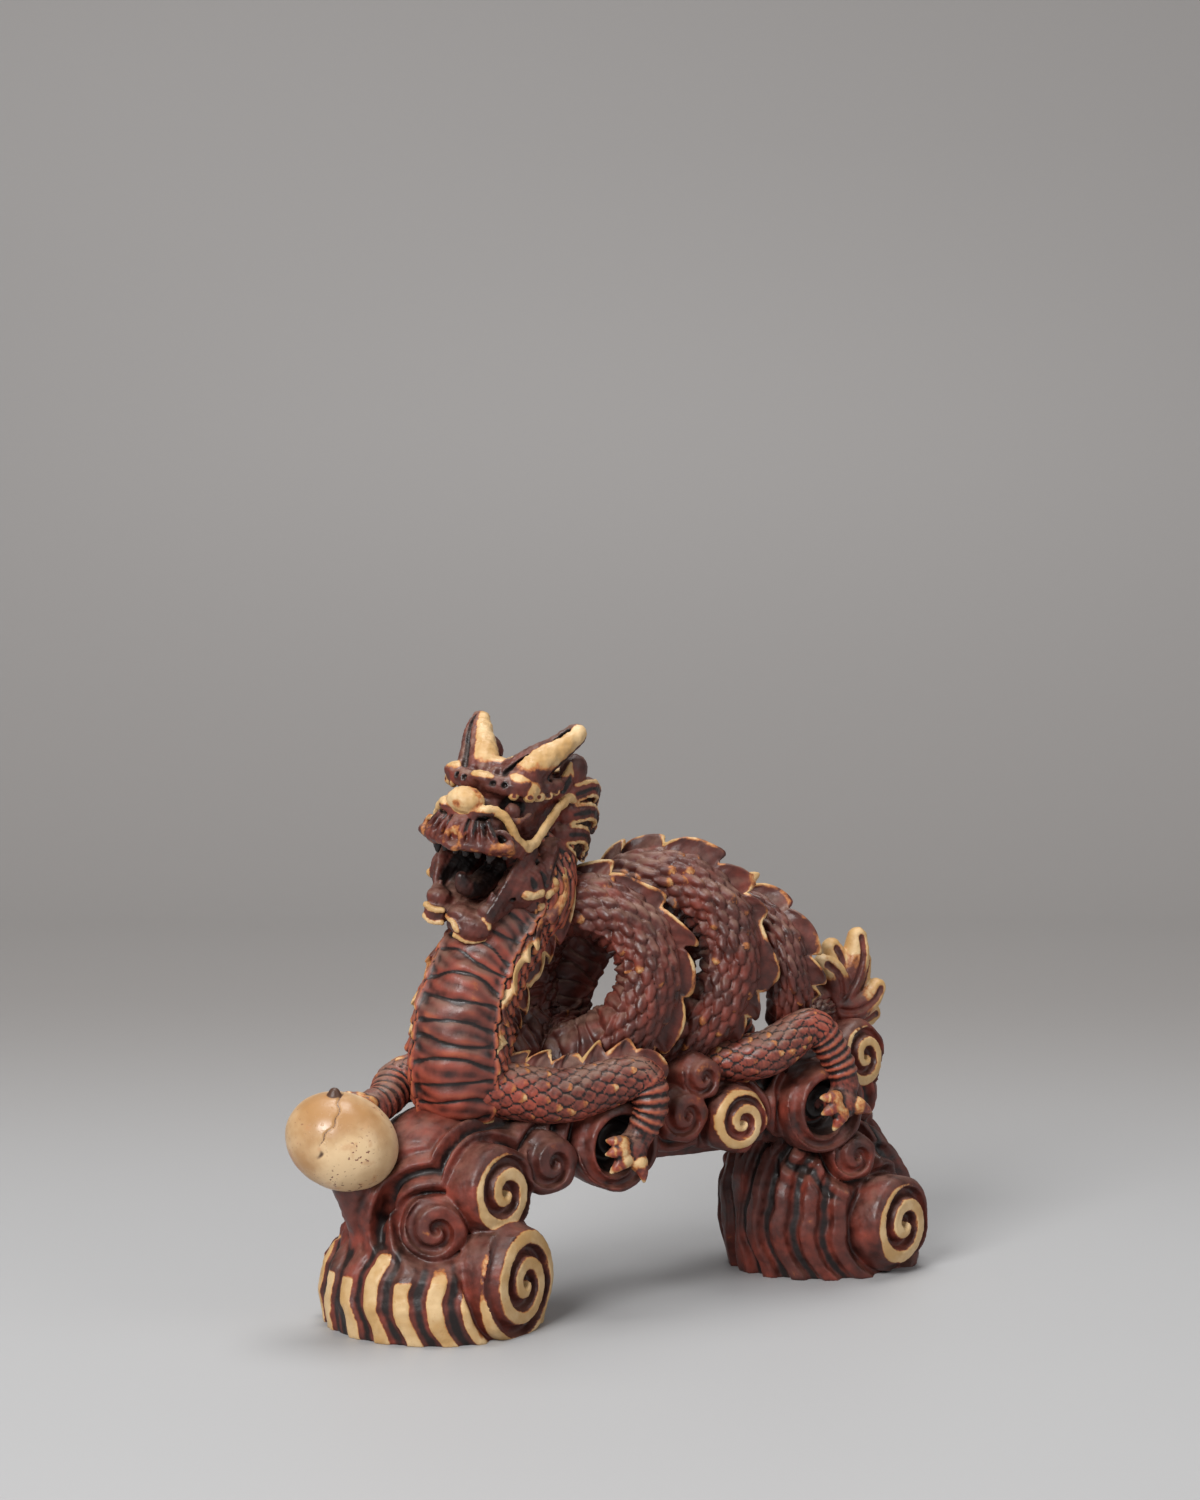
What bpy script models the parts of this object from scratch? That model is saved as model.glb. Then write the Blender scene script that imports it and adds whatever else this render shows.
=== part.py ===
"""Dragon winding along a bridge of clouds, a cast and stained resin ornament.

Metres, +Z up. The dragon faces -X and its left side is -Y. The origin is on the ground under the
middle of the ornament. Each form is trimmed back from its neighbours by one thin glue seam.
"""
from math import cos, pi, radians, sin

import bmesh
import bpy
from mathutils import Vector

MM = 0.001
SEAM = 0.3 * MM

# Cloud stand
FRONT_FOOT_X = -45 * MM
FRONT_FOOT_LENGTH = 45 * MM
FRONT_FOOT_WIDTH = 48 * MM
FRONT_FOOT_HEIGHT = 24 * MM
REAR_FOOT_X = 55.4 * MM
REAR_FOOT_LENGTH = 42 * MM
REAR_FOOT_WIDTH = 40 * MM
REAR_FOOT_HEIGHT = 33 * MM
REAR_FOOT_LEAN = -5 * MM
STAND_Y = 0 * MM
FRONT_FOOT_RIBS = 20
FRONT_FOOT_RIB_DEPTH = 0.6 * MM
REAR_FOOT_RIBS = 13
REAR_FOOT_RIB_DEPTH = 0.9 * MM
COLUMN_LENGTH = 35 * MM
COLUMN_WIDTH = 32 * MM
COLUMN_TOP = 45 * MM
BEAM_BOTTOM = 28.5 * MM
BEAM_TOP = 47 * MM
BEAM_WIDTH = 27 * MM
BEAM_REAR_X = 64 * MM

# Shares of a foot's height, and its width there as a share of its widest
FOOT_OUTLINE = ((0.0, 0.95), (0.3, 1.0), (0.55, 0.95), (0.78, 0.8), (1.0, 0.62))

# Pearl and its stem
PEARL_LENGTH = 23.5 * MM
PEARL_WIDTH = 20 * MM
PEARL_X = -66.3 * MM
PEARL_Z = 39.5 * MM
PEARL_TILT = radians(24)
PEARL_SWING = radians(33)
STEM_WIDTH = 11 * MM

# Body
NECK_RADIUS = 10 * MM
COIL_RADIUS = 6.5 * MM
TAIL_RADIUS = 4.2 * MM
COIL_PITCH = 20.8 * MM
COIL_FIRST_X = -11.2 * MM
COIL_BULGE = 9 * MM
COIL_FAR_BULGE = 5.4 * MM
COIL_TUCK = 12.5 * MM
COIL_RISE = 4.5 * MM
COIL_HALF_WIDTH = 11.2 * MM
COIL_FLOOR = 52 * MM
COIL_TOPS = (83.5 * MM, 87 * MM, 78.5 * MM)
SCALE_HEIGHT = 0.7 * MM
SCALE_ROW_TURN = 20
SCALE_COLUMNS = 14
CREST_HEIGHT = 4.6 * MM
CREST_THICKNESS = 1.9 * MM
CREST_LOBES = 13
NECK_BACK = Vector((0.93, -0.22, 0.25))

# Turns in degrees along the coils, counted from the first top
COIL_START = -130
COIL_LAUNCH = (-50, 30)
COIL_CALM = (620, 820)
COIL_ENDS = (180, 540, 850)
CREST_SPANS = ((-100, 150), (180, 520), (545, 840))

# Each lock of the tail tuft: lean from upright in radians, length and sideways place in millimetres
TUFT_LOCKS = ((-0.05, 9.5, -1.5), (0.3, 12.5, 1), (0.6, 16.5, -0.5), (1.0, 14, 1.5), (1.45, 13, -1.5),
              (1.9, 13.5, 1), (2.4, 15, -1))
TUFT_RADII = (3.5 * MM, 3.5 * MM, 3.0 * MM, 1.8 * MM)

# Limbs
ARM_RADIUS = 5 * MM
THIGH_RADIUS = 5.1 * MM
WRIST_RADIUS = 2.9 * MM
PAW_RADIUS = 4.2 * MM
CLAW_LENGTH = 6.5 * MM
CLAW_RADIUS = 1.5 * MM
CUP_RADIUS = 9.6 * MM

# Head, in its own forward, left and up directions
HEAD_X = -27.8 * MM
HEAD_Y = -0.5 * MM
HEAD_Z = 105 * MM
HEAD_TURN = radians(28)
HEAD_ROLL = radians(8)
SKULL_LENGTH = 34 * MM
SKULL_WIDTH = 22 * MM
SKULL_HEIGHT = 17 * MM
JAW_DROP = 16 * MM
JAW_WIDTH = 16 * MM
HORN_LENGTH = 16.5 * MM
HORN_RADIUS = 3.9 * MM
NOSE_RADIUS = 3.7 * MM
WHISKER_RADIUS = 1.15 * MM
LOCK_RADIUS = 2.6 * MM

# Colour and roughness of each finish
FINISHES = {
    "stained_resin": ((0.17, 0.035, 0.02), 0.42),
    "stained_cloud": ((0.24, 0.07, 0.04), 0.45),
    "ivory_resin": ((0.74, 0.60, 0.38), 0.38),
    "dark_stain": ((0.07, 0.018, 0.012), 0.5),
}

UP = Vector((0, 0, 1))
LEFT = Vector((0, -1, 0))
BACK = Vector((1, 0, 0))


def mm(x, y, z):
    """A point or offset given in millimetres."""
    return Vector((x, y, z)) * MM


def mirrored(point, side):
    """The same point on the left (side 1) or on the right (side -1) of the stand."""
    return Vector((point.x, STAND_Y + (point.y - STAND_Y) * side, point.z))


def head_point(forward, left, up):
    """A point in millimetres from the middle of the skull."""
    ahead = Vector((-cos(HEAD_TURN), -sin(HEAD_TURN), 0))
    level = UP.cross(ahead)
    leftward = level * cos(HEAD_ROLL) - UP * sin(HEAD_ROLL)
    upward = UP * cos(HEAD_ROLL) + level * sin(HEAD_ROLL)
    return Vector((HEAD_X, HEAD_Y, HEAD_Z)) + (ahead * forward + leftward * left + upward * up) * MM


def smooth(points, steps):
    """Points on a smooth curve through the given ones, with so many steps between each two."""
    ends = [points[0] * 2 - points[1]] + list(points) + [points[-1] * 2 - points[-2]]
    curve = []
    for a, b, c, d in zip(ends, ends[1:], ends[2:], ends[3:]):
        for k in range(steps):
            t = k / steps
            bend = (a * 2 - b * 5 + c * 4 - d) * t * t + (b * 3 - a - c * 3 + d) * t ** 3
            curve.append(b + ((c - a) * t + bend) / 2)
    return curve + [points[-1]]


def spread(values, count):
    """Values at even steps along a list, with straight runs between its entries."""
    result = []
    for k in range(count):
        place = k * (len(values) - 1) / (count - 1)
        low = min(int(place), len(values) - 2)
        result.append(values[low] + (values[low + 1] - values[low]) * (place - low))
    return result


def skin(rings):
    """A closed mesh over a row of rings with equal counts of points."""
    mesh = bmesh.new()
    loops = [[mesh.verts.new(point) for point in ring] for ring in rings]
    for low, high in zip(loops, loops[1:]):
        for k in range(len(low)):
            after = (k + 1) % len(low)
            mesh.faces.new((low[k], low[after], high[after], high[k]))
    mesh.faces.new(list(reversed(loops[0])))
    mesh.faces.new(loops[-1])
    bmesh.ops.triangulate(mesh, faces=mesh.faces)
    bmesh.ops.recalc_face_normals(mesh, faces=mesh.faces)
    return mesh


def tube(points, radii, backs, sides, flat=1.0, bump=0.0):
    """A tube along points with its back towards backs; flat is width over height, bump lifts the scales."""
    def build(grow):
        rings = []
        last = len(points) - 1
        for k, point in enumerate(points):
            tangent = (points[min(k + 1, last)] - points[max(k - 1, 0)]).normalized()
            back = (backs[k] - tangent * backs[k].dot(tangent)).normalized()
            across = tangent.cross(back)
            end = (k == last) - (k == 0)
            ring = []
            for step in range(sides):
                angle = 2 * pi * step / sides
                # Every other point stands out as a scale, but not along the back or at the ends
                raised = step > 0 and 1 < k < last - 1 and (k + step) % 2 == 1
                radius = radii[k] + grow + bump * raised
                offset = back * cos(angle) * radius + across * sin(angle) * radius * flat
                ring.append(point + tangent * end * grow + offset)
            rings.append(ring)
        return skin(rings)
    return build


def limb(points, radii, back=UP, sides=8, steps=2, flat=1.0):
    """A smooth tube through a few points, with one back direction all along."""
    path = smooth(points, steps)
    return tube(path, spread(radii, len(path)), [back] * len(path), sides, flat)


def ball(centre, radii, long_axis=BACK, segments=12, rings=8):
    """An ellipsoid with its first radius along long_axis."""
    def build(grow):
        mesh = bmesh.new()
        bmesh.ops.create_uvsphere(mesh, u_segments=segments, v_segments=rings, radius=1)
        turn = long_axis.to_track_quat("Z", "Y").to_matrix()
        for vert in mesh.verts:
            x = vert.co.x * (radii[1] + grow)
            y = vert.co.y * (radii[2] + grow)
            z = vert.co.z * (radii[0] + grow)
            vert.co = centre + turn @ Vector((x, y, z))
        bmesh.ops.triangulate(mesh, faces=mesh.faces)
        return mesh
    return build


def oval_stack(centres, half_lengths, half_widths, ribs=0, rib_depth=0.0, segments=18):
    """Upright loft of ovals, with upright ribs round the outside where ribs are asked for."""
    def build(grow):
        rings = []
        last = len(centres) - 1
        for k, centre in enumerate(centres):
            end = (k == last) - (k == 0)
            ring = []
            for step in range(segments):
                angle = 2 * pi * step / segments
                swell = grow + rib_depth * cos(ribs * angle)
                x = cos(angle) * (half_lengths[k] + swell)
                y = sin(angle) * (half_widths[k] + swell)
                ring.append(centre + Vector((x, y, end * grow)))
            rings.append(ring)
        return skin(rings)
    return build


def scroll(centre, normal, radius, depth, turns=1.7):
    """A cloud scroll: a round boss with a spiral ridge that winds in towards its middle."""
    normal = normal.normalized()
    up = (UP - normal * UP.dot(normal)).normalized()
    right = up.cross(normal) * (-1 if normal.y > 0 else 1)
    boss = [centre - normal * depth, centre - normal * radius * 0.2, centre]
    ridge = []
    steps = int(turns * 8)
    for k in range(steps + 1):
        share = k / steps
        angle = radians(215) - 2 * pi * turns * share
        reach = radius * (0.83 - 0.68 * share)
        ridge.append(centre + (right * cos(angle) + up * sin(angle)) * reach)
    thick = [radius * (0.17 + 0.03 * k / steps) for k in range(steps + 1)]
    boss_radii = [radius * 0.86, radius, radius * 0.9]
    return [tube(boss, boss_radii, [up] * 3, 12), tube(ridge, thick, [normal] * (steps + 1), 3)]


def foot_factor(share):
    """Width of a foot at a share of its height, over its widest."""
    for (low, wide_low), (high, wide_high) in zip(FOOT_OUTLINE, FOOT_OUTLINE[1:]):
        if share <= high:
            return wide_low + (wide_high - wide_low) * (share - low) / (high - low)
    return FOOT_OUTLINE[-1][1]


def cloud_foot(centre_x, length, width, height, lean, ribs, rib_depth):
    """A ribbed foot whose top stands off its bottom by lean."""
    centres = [Vector((centre_x + lean * share, STAND_Y, height * share)) for share, _ in FOOT_OUTLINE]
    half_lengths = [length / 2 * factor for _, factor in FOOT_OUTLINE]
    half_widths = [width / 2 * factor for _, factor in FOOT_OUTLINE]
    return [oval_stack(centres, half_lengths, half_widths, ribs, rib_depth, ribs * 2)]


def oval_side(centre_x, length, width, height, degrees, inset):
    """A point on an upright oval and the way it faces; 0 degrees is the tail end, -90 the left side."""
    angle = radians(degrees)
    facing = Vector((cos(angle) / length, sin(angle) / width, 0)).normalized()
    point = Vector((centre_x + cos(angle) * length / 2, STAND_Y + sin(angle) * width / 2, height))
    return point - facing * inset, facing


def column_centre_x():
    return FRONT_FOOT_X + 0.5 * MM


def front_column():
    heights = spread([FRONT_FOOT_HEIGHT, COLUMN_TOP], 5)
    centres = [Vector((column_centre_x(), STAND_Y, z)) for z in heights]
    factors = [0.92, 1.0, 0.97, 0.9, 0.7]
    half_lengths = [COLUMN_LENGTH / 2 * factor for factor in factors]
    half_widths = [COLUMN_WIDTH / 2 * factor for factor in factors]
    return [oval_stack(centres, half_lengths, half_widths)]


def beam():
    """The bridge, a rounded bar that swells into cloud lumps along its length."""
    front = column_centre_x()
    count = 15
    points = []
    radii = []
    height = BEAM_TOP - BEAM_BOTTOM
    for k in range(count):
        share = k / (count - 1)
        points.append(Vector((front + (BEAM_REAR_X - front) * share, STAND_Y, (BEAM_TOP + BEAM_BOTTOM) / 2)))
        end_taper = 0.72 if k in (0, count - 1) else 1.0
        radii.append(height / 2 * end_taper * (0.96 + 0.04 * cos(share * 6 * pi)))
    return [tube(points, radii, [UP] * count, 14, BEAM_WIDTH / height)]


def beam_side(x, z, inset):
    """A point on the left face of the beam."""
    return Vector((x, STAND_Y - BEAM_WIDTH / 2 + inset, z))


def eased(value, span):
    """0 before the span, 1 after it and a smooth rise between."""
    share = min(max((value - span[0]) / (span[1] - span[0]), 0), 1)
    return share * share * (3 - 2 * share)


def coil_centre(turn):
    """Centre of the body along its coils; turn is in degrees, 0 over the first top, 90 down its left side."""
    angle = radians(turn)
    loop = min(max(int((turn + 180) // 360), 0), len(COIL_TOPS) - 1)
    lift = (COIL_TOPS[loop] - COIL_FLOOR) * (1 + cos(angle)) / 2
    bulge = COIL_BULGE * max(sin(angle), 0) + COIL_FAR_BULGE * min(sin(angle), 0)
    sway = bulge - COIL_TUCK * ((1 - cos(angle)) / 2) ** 2
    swing = COIL_PITCH * turn / 360 + sway * (1 - eased(turn, COIL_CALM))
    rise = COIL_RISE * sin(angle)
    x = COIL_FIRST_X + rise + (swing - rise) * eased(turn, COIL_LAUNCH)
    return Vector((x, STAND_Y - COIL_HALF_WIDTH * sin(angle), COIL_FLOOR + lift))


def coil_back(turn):
    """Where the crest points: up at the tops, out and to the tail on the left side."""
    angle = radians(turn)
    out = sin(angle)
    return Vector((0.35 + 0.6 * max(out, 0), -0.45 * out, 0.45 + 0.45 * cos(angle)))


def coil_radius(turn):
    """The body thins towards the tail."""
    share = min(max((turn - 360) / 540, 0), 1)
    return COIL_RADIUS + (TAIL_RADIUS - COIL_RADIUS) * share


def coil_path(first, last, step):
    count = max(2, round((last - first) / step))
    return [first + (last - first) * k / count for k in range(count + 1)]


def coil(first, last, lead_in=()):
    """One stretch of the coiled body, with extra centre points before it."""
    turns = coil_path(first, last, SCALE_ROW_TURN)
    points = list(lead_in) + [coil_centre(turn) for turn in turns]
    radii = [COIL_RADIUS * 1.12] * len(lead_in) + [coil_radius(turn) for turn in turns]
    backs = [coil_back(first)] * len(lead_in) + [coil_back(turn) for turn in turns]
    return [tube(points, radii, backs, SCALE_COLUMNS, 1.0, SCALE_HEIGHT)]


def fin(points, backs, radii, lobes):
    """A wavy crest that stands on the back of a tube and is scalloped along its edge."""
    def build(grow):
        rings = []
        last = len(points) - 1
        for k, point in enumerate(points):
            tangent = (points[min(k + 1, last)] - points[max(k - 1, 0)]).normalized()
            back = (backs[k] - tangent * backs[k].dot(tangent)).normalized()
            across = tangent.cross(back)
            wave = abs(sin(pi * lobes * k / last))
            taper = min(1, 6 * k / last + 0.3, 6 * (last - k) / last + 0.3)
            height = CREST_HEIGHT * (0.45 + 0.55 * wave) * taper
            root = point + back * (radii[k] + SEAM * 1.5 - grow)
            edge = point + back * (radii[k] + height + grow)
            thick = across * (CREST_THICKNESS / 2 + grow)
            thin = across * (CREST_THICKNESS * 0.3 + grow)
            end = tangent * ((k == last) - (k == 0)) * grow
            rings.append([root - thick + end, root + thick + end, edge + thin + end, edge - thin + end])
        return skin(rings)
    return build


def coil_crest(first, last):
    turns = coil_path(first, last, 360 / CREST_LOBES / 3)
    points = [coil_centre(turn) for turn in turns]
    lobes = round(CREST_LOBES * (last - first) / 360)
    return [fin(points, [coil_back(turn) for turn in turns], [coil_radius(turn) for turn in turns], lobes)]


def neck_path():
    """Centre of the neck from inside the skull down its S bend to the bottom of the chest."""
    nape = head_point(-8, 0, -3)
    bends = [mm(-21.5, -1, 89.5), mm(-28, -1.5, 81.5), mm(-34.5, -2, 73), mm(-38.8, -2.5, 64)]
    chest = [mm(-40, -2.5, 54.5), mm(-39.5, -2, 47), mm(-39, -1.5, 42)]
    return smooth([nape] + bends + chest, 2)


def neck_radii(count):
    return spread([NECK_RADIUS * factor for factor in (0.74, 0.84, 0.9, 0.93, 0.97, 1.03, 0.98, 0.7)], count)


def neck():
    path = neck_path()
    return [tube(path, neck_radii(len(path)), [NECK_BACK] * len(path), 12)]


def neck_crest():
    path = neck_path()
    ridge = path[3:-4]
    return [fin(ridge, [NECK_BACK] * len(ridge), neck_radii(len(path))[3:-4], 5)]


def paw(centre, reach, spread_axis):
    """A paw with three claws in front and one behind."""
    reach = reach.normalized()
    parts = [ball(centre, (PAW_RADIUS * 1.2, PAW_RADIUS, PAW_RADIUS * 0.85), reach, 8, 6)]
    for fan in (-0.65, 0, 0.65):
        way = (reach + spread_axis * fan).normalized()
        knuckle = centre + way * PAW_RADIUS * 0.7
        tip = knuckle + way * CLAW_LENGTH
        bow = (knuckle + tip) / 2 + UP * CLAW_RADIUS
        parts.append(limb([knuckle, bow, tip], [CLAW_RADIUS, CLAW_RADIUS, CLAW_RADIUS * 0.3], UP, 5, 1))
    heel = centre - reach * PAW_RADIUS * 0.8
    parts.append(limb([heel, heel - reach * CLAW_LENGTH * 0.5], [CLAW_RADIUS, CLAW_RADIUS * 0.4], UP, 5, 1))
    return parts


def cloud_cup(centre, normal):
    """A round cloud hollow that holds a paw, with a thick rim that curls in at its end."""
    return scroll(centre, normal, CUP_RADIUS, 9 * MM, 1.25)


def left_fore_paw_centre():
    return beam_side(-9 * MM, 34.5 * MM, -6.5 * MM)


def left_hind_paw_centre():
    return beam_side(44.5 * MM, 39 * MM, -6 * MM)


def foreleg(side):
    """Arm from the chest; the left paw rests in a cloud cup, the right one holds the pearl."""
    shoulder = mm(-36, -6.5, 48.5)
    if side > 0:
        elbow = mm(-7, -18, 49.5)
        wrist = left_fore_paw_centre() + mm(3.5, -0.2, 6)
        return [shoulder, mm(-22, -13.5, 46.5), elbow, wrist]
    wrist = right_fore_paw_centre() + mm(4, 1.5, 1)
    return [mm(-40, 6.5, 50), mm(-48, 8.5, 48.5), wrist]


def right_fore_paw_centre():
    return Vector((PEARL_X, STAND_Y, PEARL_Z)) + mm(8.6, 3, 5.4)


def hind_leg(side):
    hip = mm(21, -8, 48.5)
    thigh = mm(29, -14, 50.5)
    knee = mm(38.5, -16.5, 55.5)
    ankle = left_hind_paw_centre() + mm(1.5, 0.4, 5)
    return [mirrored(point, side) for point in (hip, thigh, knee, ankle)]


def tail_root():
    return coil_centre(COIL_ENDS[2]) + mm(15, 6.6, 0.3)


def tail():
    """The end of the body, from the last coil to the root of the tuft."""
    first = coil_centre(COIL_ENDS[2])
    middle = (first + tail_root()) / 2 + mm(0, 0.6, -1.8)
    path = smooth([first, middle, tail_root()], 3)
    radii = spread([coil_radius(COIL_ENDS[2]), TAIL_RADIUS * 0.9, TAIL_RADIUS * 0.8], len(path))
    return [tube(path, radii, [UP] * len(path), SCALE_COLUMNS)]


def tail_tuft():
    """Flame locks that fan out from the end of the tail."""
    root = tail_root()
    locks = []
    for lean, length, out in TUFT_LOCKS:
        way = Vector((sin(lean), 0, cos(lean)))
        bend = Vector((cos(lean), 0, -sin(lean)))
        points = [root - way * 2 * MM]
        for share, curl, side in ((0.35, 1.8, 0.6), (0.75, 0.8, 1), (1, -1.4, 1)):
            points.append(root + (way * length * share + bend * curl - LEFT * out * side) * MM)
        locks.append(limb(points, TUFT_RADII, LEFT, 7, 1))
    return locks


def skull():
    """Skull and upper jaw as a loft from the nape to the lip."""
    stations = (
        (-0.44, 0.36, 0.25, -0.30), (-0.33, 0.78, 0.44, -0.42), (-0.14, 0.98, 0.54, -0.50),
        (0.06, 1.0, 0.52, -0.53), (0.22, 0.9, 0.40, -0.52), (0.34, 0.82, 0.18, -0.53),
        (0.46, 0.84, 0.12, -0.55), (0.53, 0.70, -0.12, -0.54), (0.56, 0.42, -0.28, -0.48),
    )

    def build(grow):
        rings = []
        for k, (along, wide, top, bottom) in enumerate(stations):
            end = (k == len(stations) - 1) - (k == 0)
            middle = (top + bottom) / 2 * SKULL_HEIGHT
            half_height = (top - bottom) / 2 * SKULL_HEIGHT + grow
            half_width = wide * SKULL_WIDTH / 2 + grow
            forward = along * SKULL_LENGTH + end * grow
            ring = []
            for step in range(16):
                angle = 2 * pi * step / 16
                left = half_width * cos(angle) / MM
                up = (middle + half_height * sin(angle)) / MM
                ring.append(head_point(forward / MM, left, up))
            rings.append(ring)
        return skin(rings)
    return [build]


def lower_jaw():
    """Open lower jaw, hinged under the back of the skull."""
    drop = JAW_DROP / MM
    chin = [(11, -8 - drop * 0.95), (15.5, -6 - drop)]
    points = [(-7, -6), (-2, -8.5 - drop * 0.3), (5, -8 - drop * 0.75)] + chin
    radii = [4.4, 4.5, 4.3, 3.8, 2.2]
    path = [head_point(forward, 0, up) for forward, up in points]
    return [limb(path, [radius * MM for radius in radii], UP, 10, 2, JAW_WIDTH / (8 * MM))]


def tongue():
    drop = JAW_DROP / MM
    points = [(0, -6 - drop * 0.2), (6, -5.5 - drop * 0.5), (11.5, -5 - drop * 0.8)]
    path = [head_point(forward, 0, up) for forward, up in points]
    return [limb(path, [2.6 * MM, 2.4 * MM, 1.2 * MM], UP, 8, 2, 1.6)]


def nose():
    wings = [ball(head_point(15.8, 4.4 * side, 0.8), [NOSE_RADIUS * 0.7] * 3, UP, 8, 6) for side in (1, -1)]
    return [ball(head_point(15.8, 0, 3), [NOSE_RADIUS] * 3, UP, 10, 6)] + wings


def brow(side):
    points = [head_point(10.5, 1.8 * side, 6), head_point(7, 7 * side, 6.4), head_point(-1, 10.6 * side, 6.4)]
    return [limb(points, [2.3 * MM, 2.9 * MM, 2.0 * MM])]


def horn(side):
    length = HORN_LENGTH / MM
    root = (2, 5, 8)
    points = []
    for share in (-0.15, 0.3, 0.7, 1.0):
        forward = root[0] - 0.55 * length * share
        up = root[2] + 0.58 * length * share
        points.append(head_point(forward, (root[1] + 0.46 * length * share) * side, up))
    radii = [HORN_RADIUS * factor for factor in (1.0, 0.95, 0.72, 0.42)]
    return [limb(points, radii)]


def ear(side):
    stops = ((-5.5, 9, 4), (-8.5, 11, 7), (-11, 11.5, 10.5))
    points = [head_point(forward, left * side, up) for forward, left, up in stops]
    return [limb(points, [2.8 * MM, 2.6 * MM, 0.8 * MM], UP, 8, 2, 0.8)]


def whisker(side):
    """A flat ribbon that leaves the nose, dips along the lip and rises over the cheek."""
    dip = ((13.5, 7.6, 0.6), (11, 9.4, -2.8), (7.8, 10.4, -5.2))
    stops = dip + ((3.6, 11, -3.7), (-2.2, 11.4, 0.5), (-9, 11.6, 2.4))
    points = [head_point(forward, left * side, up) for forward, left, up in stops]
    return [limb(points, [WHISKER_RADIUS] * len(points), UP, 6)]


def mane(side):
    """Three curled locks behind the cheek."""
    roots = (((-6, 9.5, 2), (-13, 11.5, 4), (-18.5, 10.5, 1.5)),
             ((-6, 9.5, -3), (-13, 11.5, -2), (-18.5, 10.5, -5)),
             ((-5, 9, -8), (-10.5, 10.5, -10), (-14.5, 9, -15)))
    locks = []
    for stops in roots:
        points = [head_point(forward, left * side, up) for forward, left, up in stops]
        locks.append(limb(points, [LOCK_RADIUS * 1.3, LOCK_RADIUS, LOCK_RADIUS * 0.35], UP, 6))
    return locks


def pearl():
    level = Vector((cos(PEARL_SWING), -sin(PEARL_SWING), 0))
    long_axis = level * cos(PEARL_TILT) - UP * sin(PEARL_TILT)
    radii = (PEARL_LENGTH / 2, PEARL_WIDTH / 2, PEARL_WIDTH / 2)
    return [ball(Vector((PEARL_X, STAND_Y, PEARL_Z)), radii, long_axis, 16, 10)]


def pearl_stem():
    """A cloud stalk from the foot to the underside of the pearl."""
    top = Vector((PEARL_X, STAND_Y, PEARL_Z))
    root = Vector((FRONT_FOOT_X - FRONT_FOOT_LENGTH / 2 + STEM_WIDTH, STAND_Y, FRONT_FOOT_HEIGHT * 0.7))
    points = [root, (root + top) / 2 + mm(1.5, 0, -2), top + mm(2.5, 0, -5)]
    return [limb(points, [STEM_WIDTH * 0.75, STEM_WIDTH * 0.5, STEM_WIDTH * 0.6], LEFT, 10)]


def front_foot_side(height, degrees, inset):
    factor = foot_factor(height / FRONT_FOOT_HEIGHT)
    length = FRONT_FOOT_LENGTH * factor
    return oval_side(FRONT_FOOT_X, length, FRONT_FOOT_WIDTH * factor, height, degrees, inset)


def rear_foot_side(height, degrees, inset):
    share = height / REAR_FOOT_HEIGHT
    length = REAR_FOOT_LENGTH * foot_factor(share)
    width = REAR_FOOT_WIDTH * foot_factor(share)
    return oval_side(REAR_FOOT_X + REAR_FOOT_LEAN * share, length, width, height, degrees, inset)


def column_side(height, degrees, inset):
    return oval_side(column_centre_x(), COLUMN_LENGTH, COLUMN_WIDTH, height, degrees, inset)


def side_scrolls(side):
    """The scrolls of one side, by name, with the place and facing of each."""
    level = LEFT * side
    places = {
        "front_foot_scroll": (*front_foot_side(12.2 * MM, -66 * side, 0.9 * MM), 11 * MM, 9 * MM),
        "front_upper_scroll": (*column_side(28.5 * MM, -74 * side, -2.5 * MM), 9.6 * MM, 9 * MM),
        "front_back_curl": (mirrored(beam_side(-26 * MM, 33 * MM, -1.5 * MM), side), level, 6.6 * MM, 7 * MM),
        "front_curl": (*column_side(22.5 * MM, -118 * side, -1.5 * MM), 6.6 * MM, 7 * MM),
        "mid_scroll": (mirrored(beam_side(20.5 * MM, 37 * MM, -2.5 * MM), side), level, 7.1 * MM, 7 * MM),
        "mid_curl": (mirrored(beam_side(7.5 * MM, 39.5 * MM, -0.5 * MM), side), level, 6 * MM, 6 * MM),
        "rear_top_scroll": (Vector((56.5 * MM, STAND_Y - 11 * MM * side, 46.5 * MM)),
                            Vector((0.25, -0.95 * side, 0.1)), 7.6 * MM, 8 * MM),
        "rear_curl": (*rear_foot_side(26.5 * MM, -94 * side, -1.5 * MM), 5.6 * MM, 7 * MM),
        "rear_foot_scroll": (*rear_foot_side(11 * MM, -73 * side, -0.5 * MM), 10.4 * MM, 9 * MM),
    }
    return places


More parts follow.
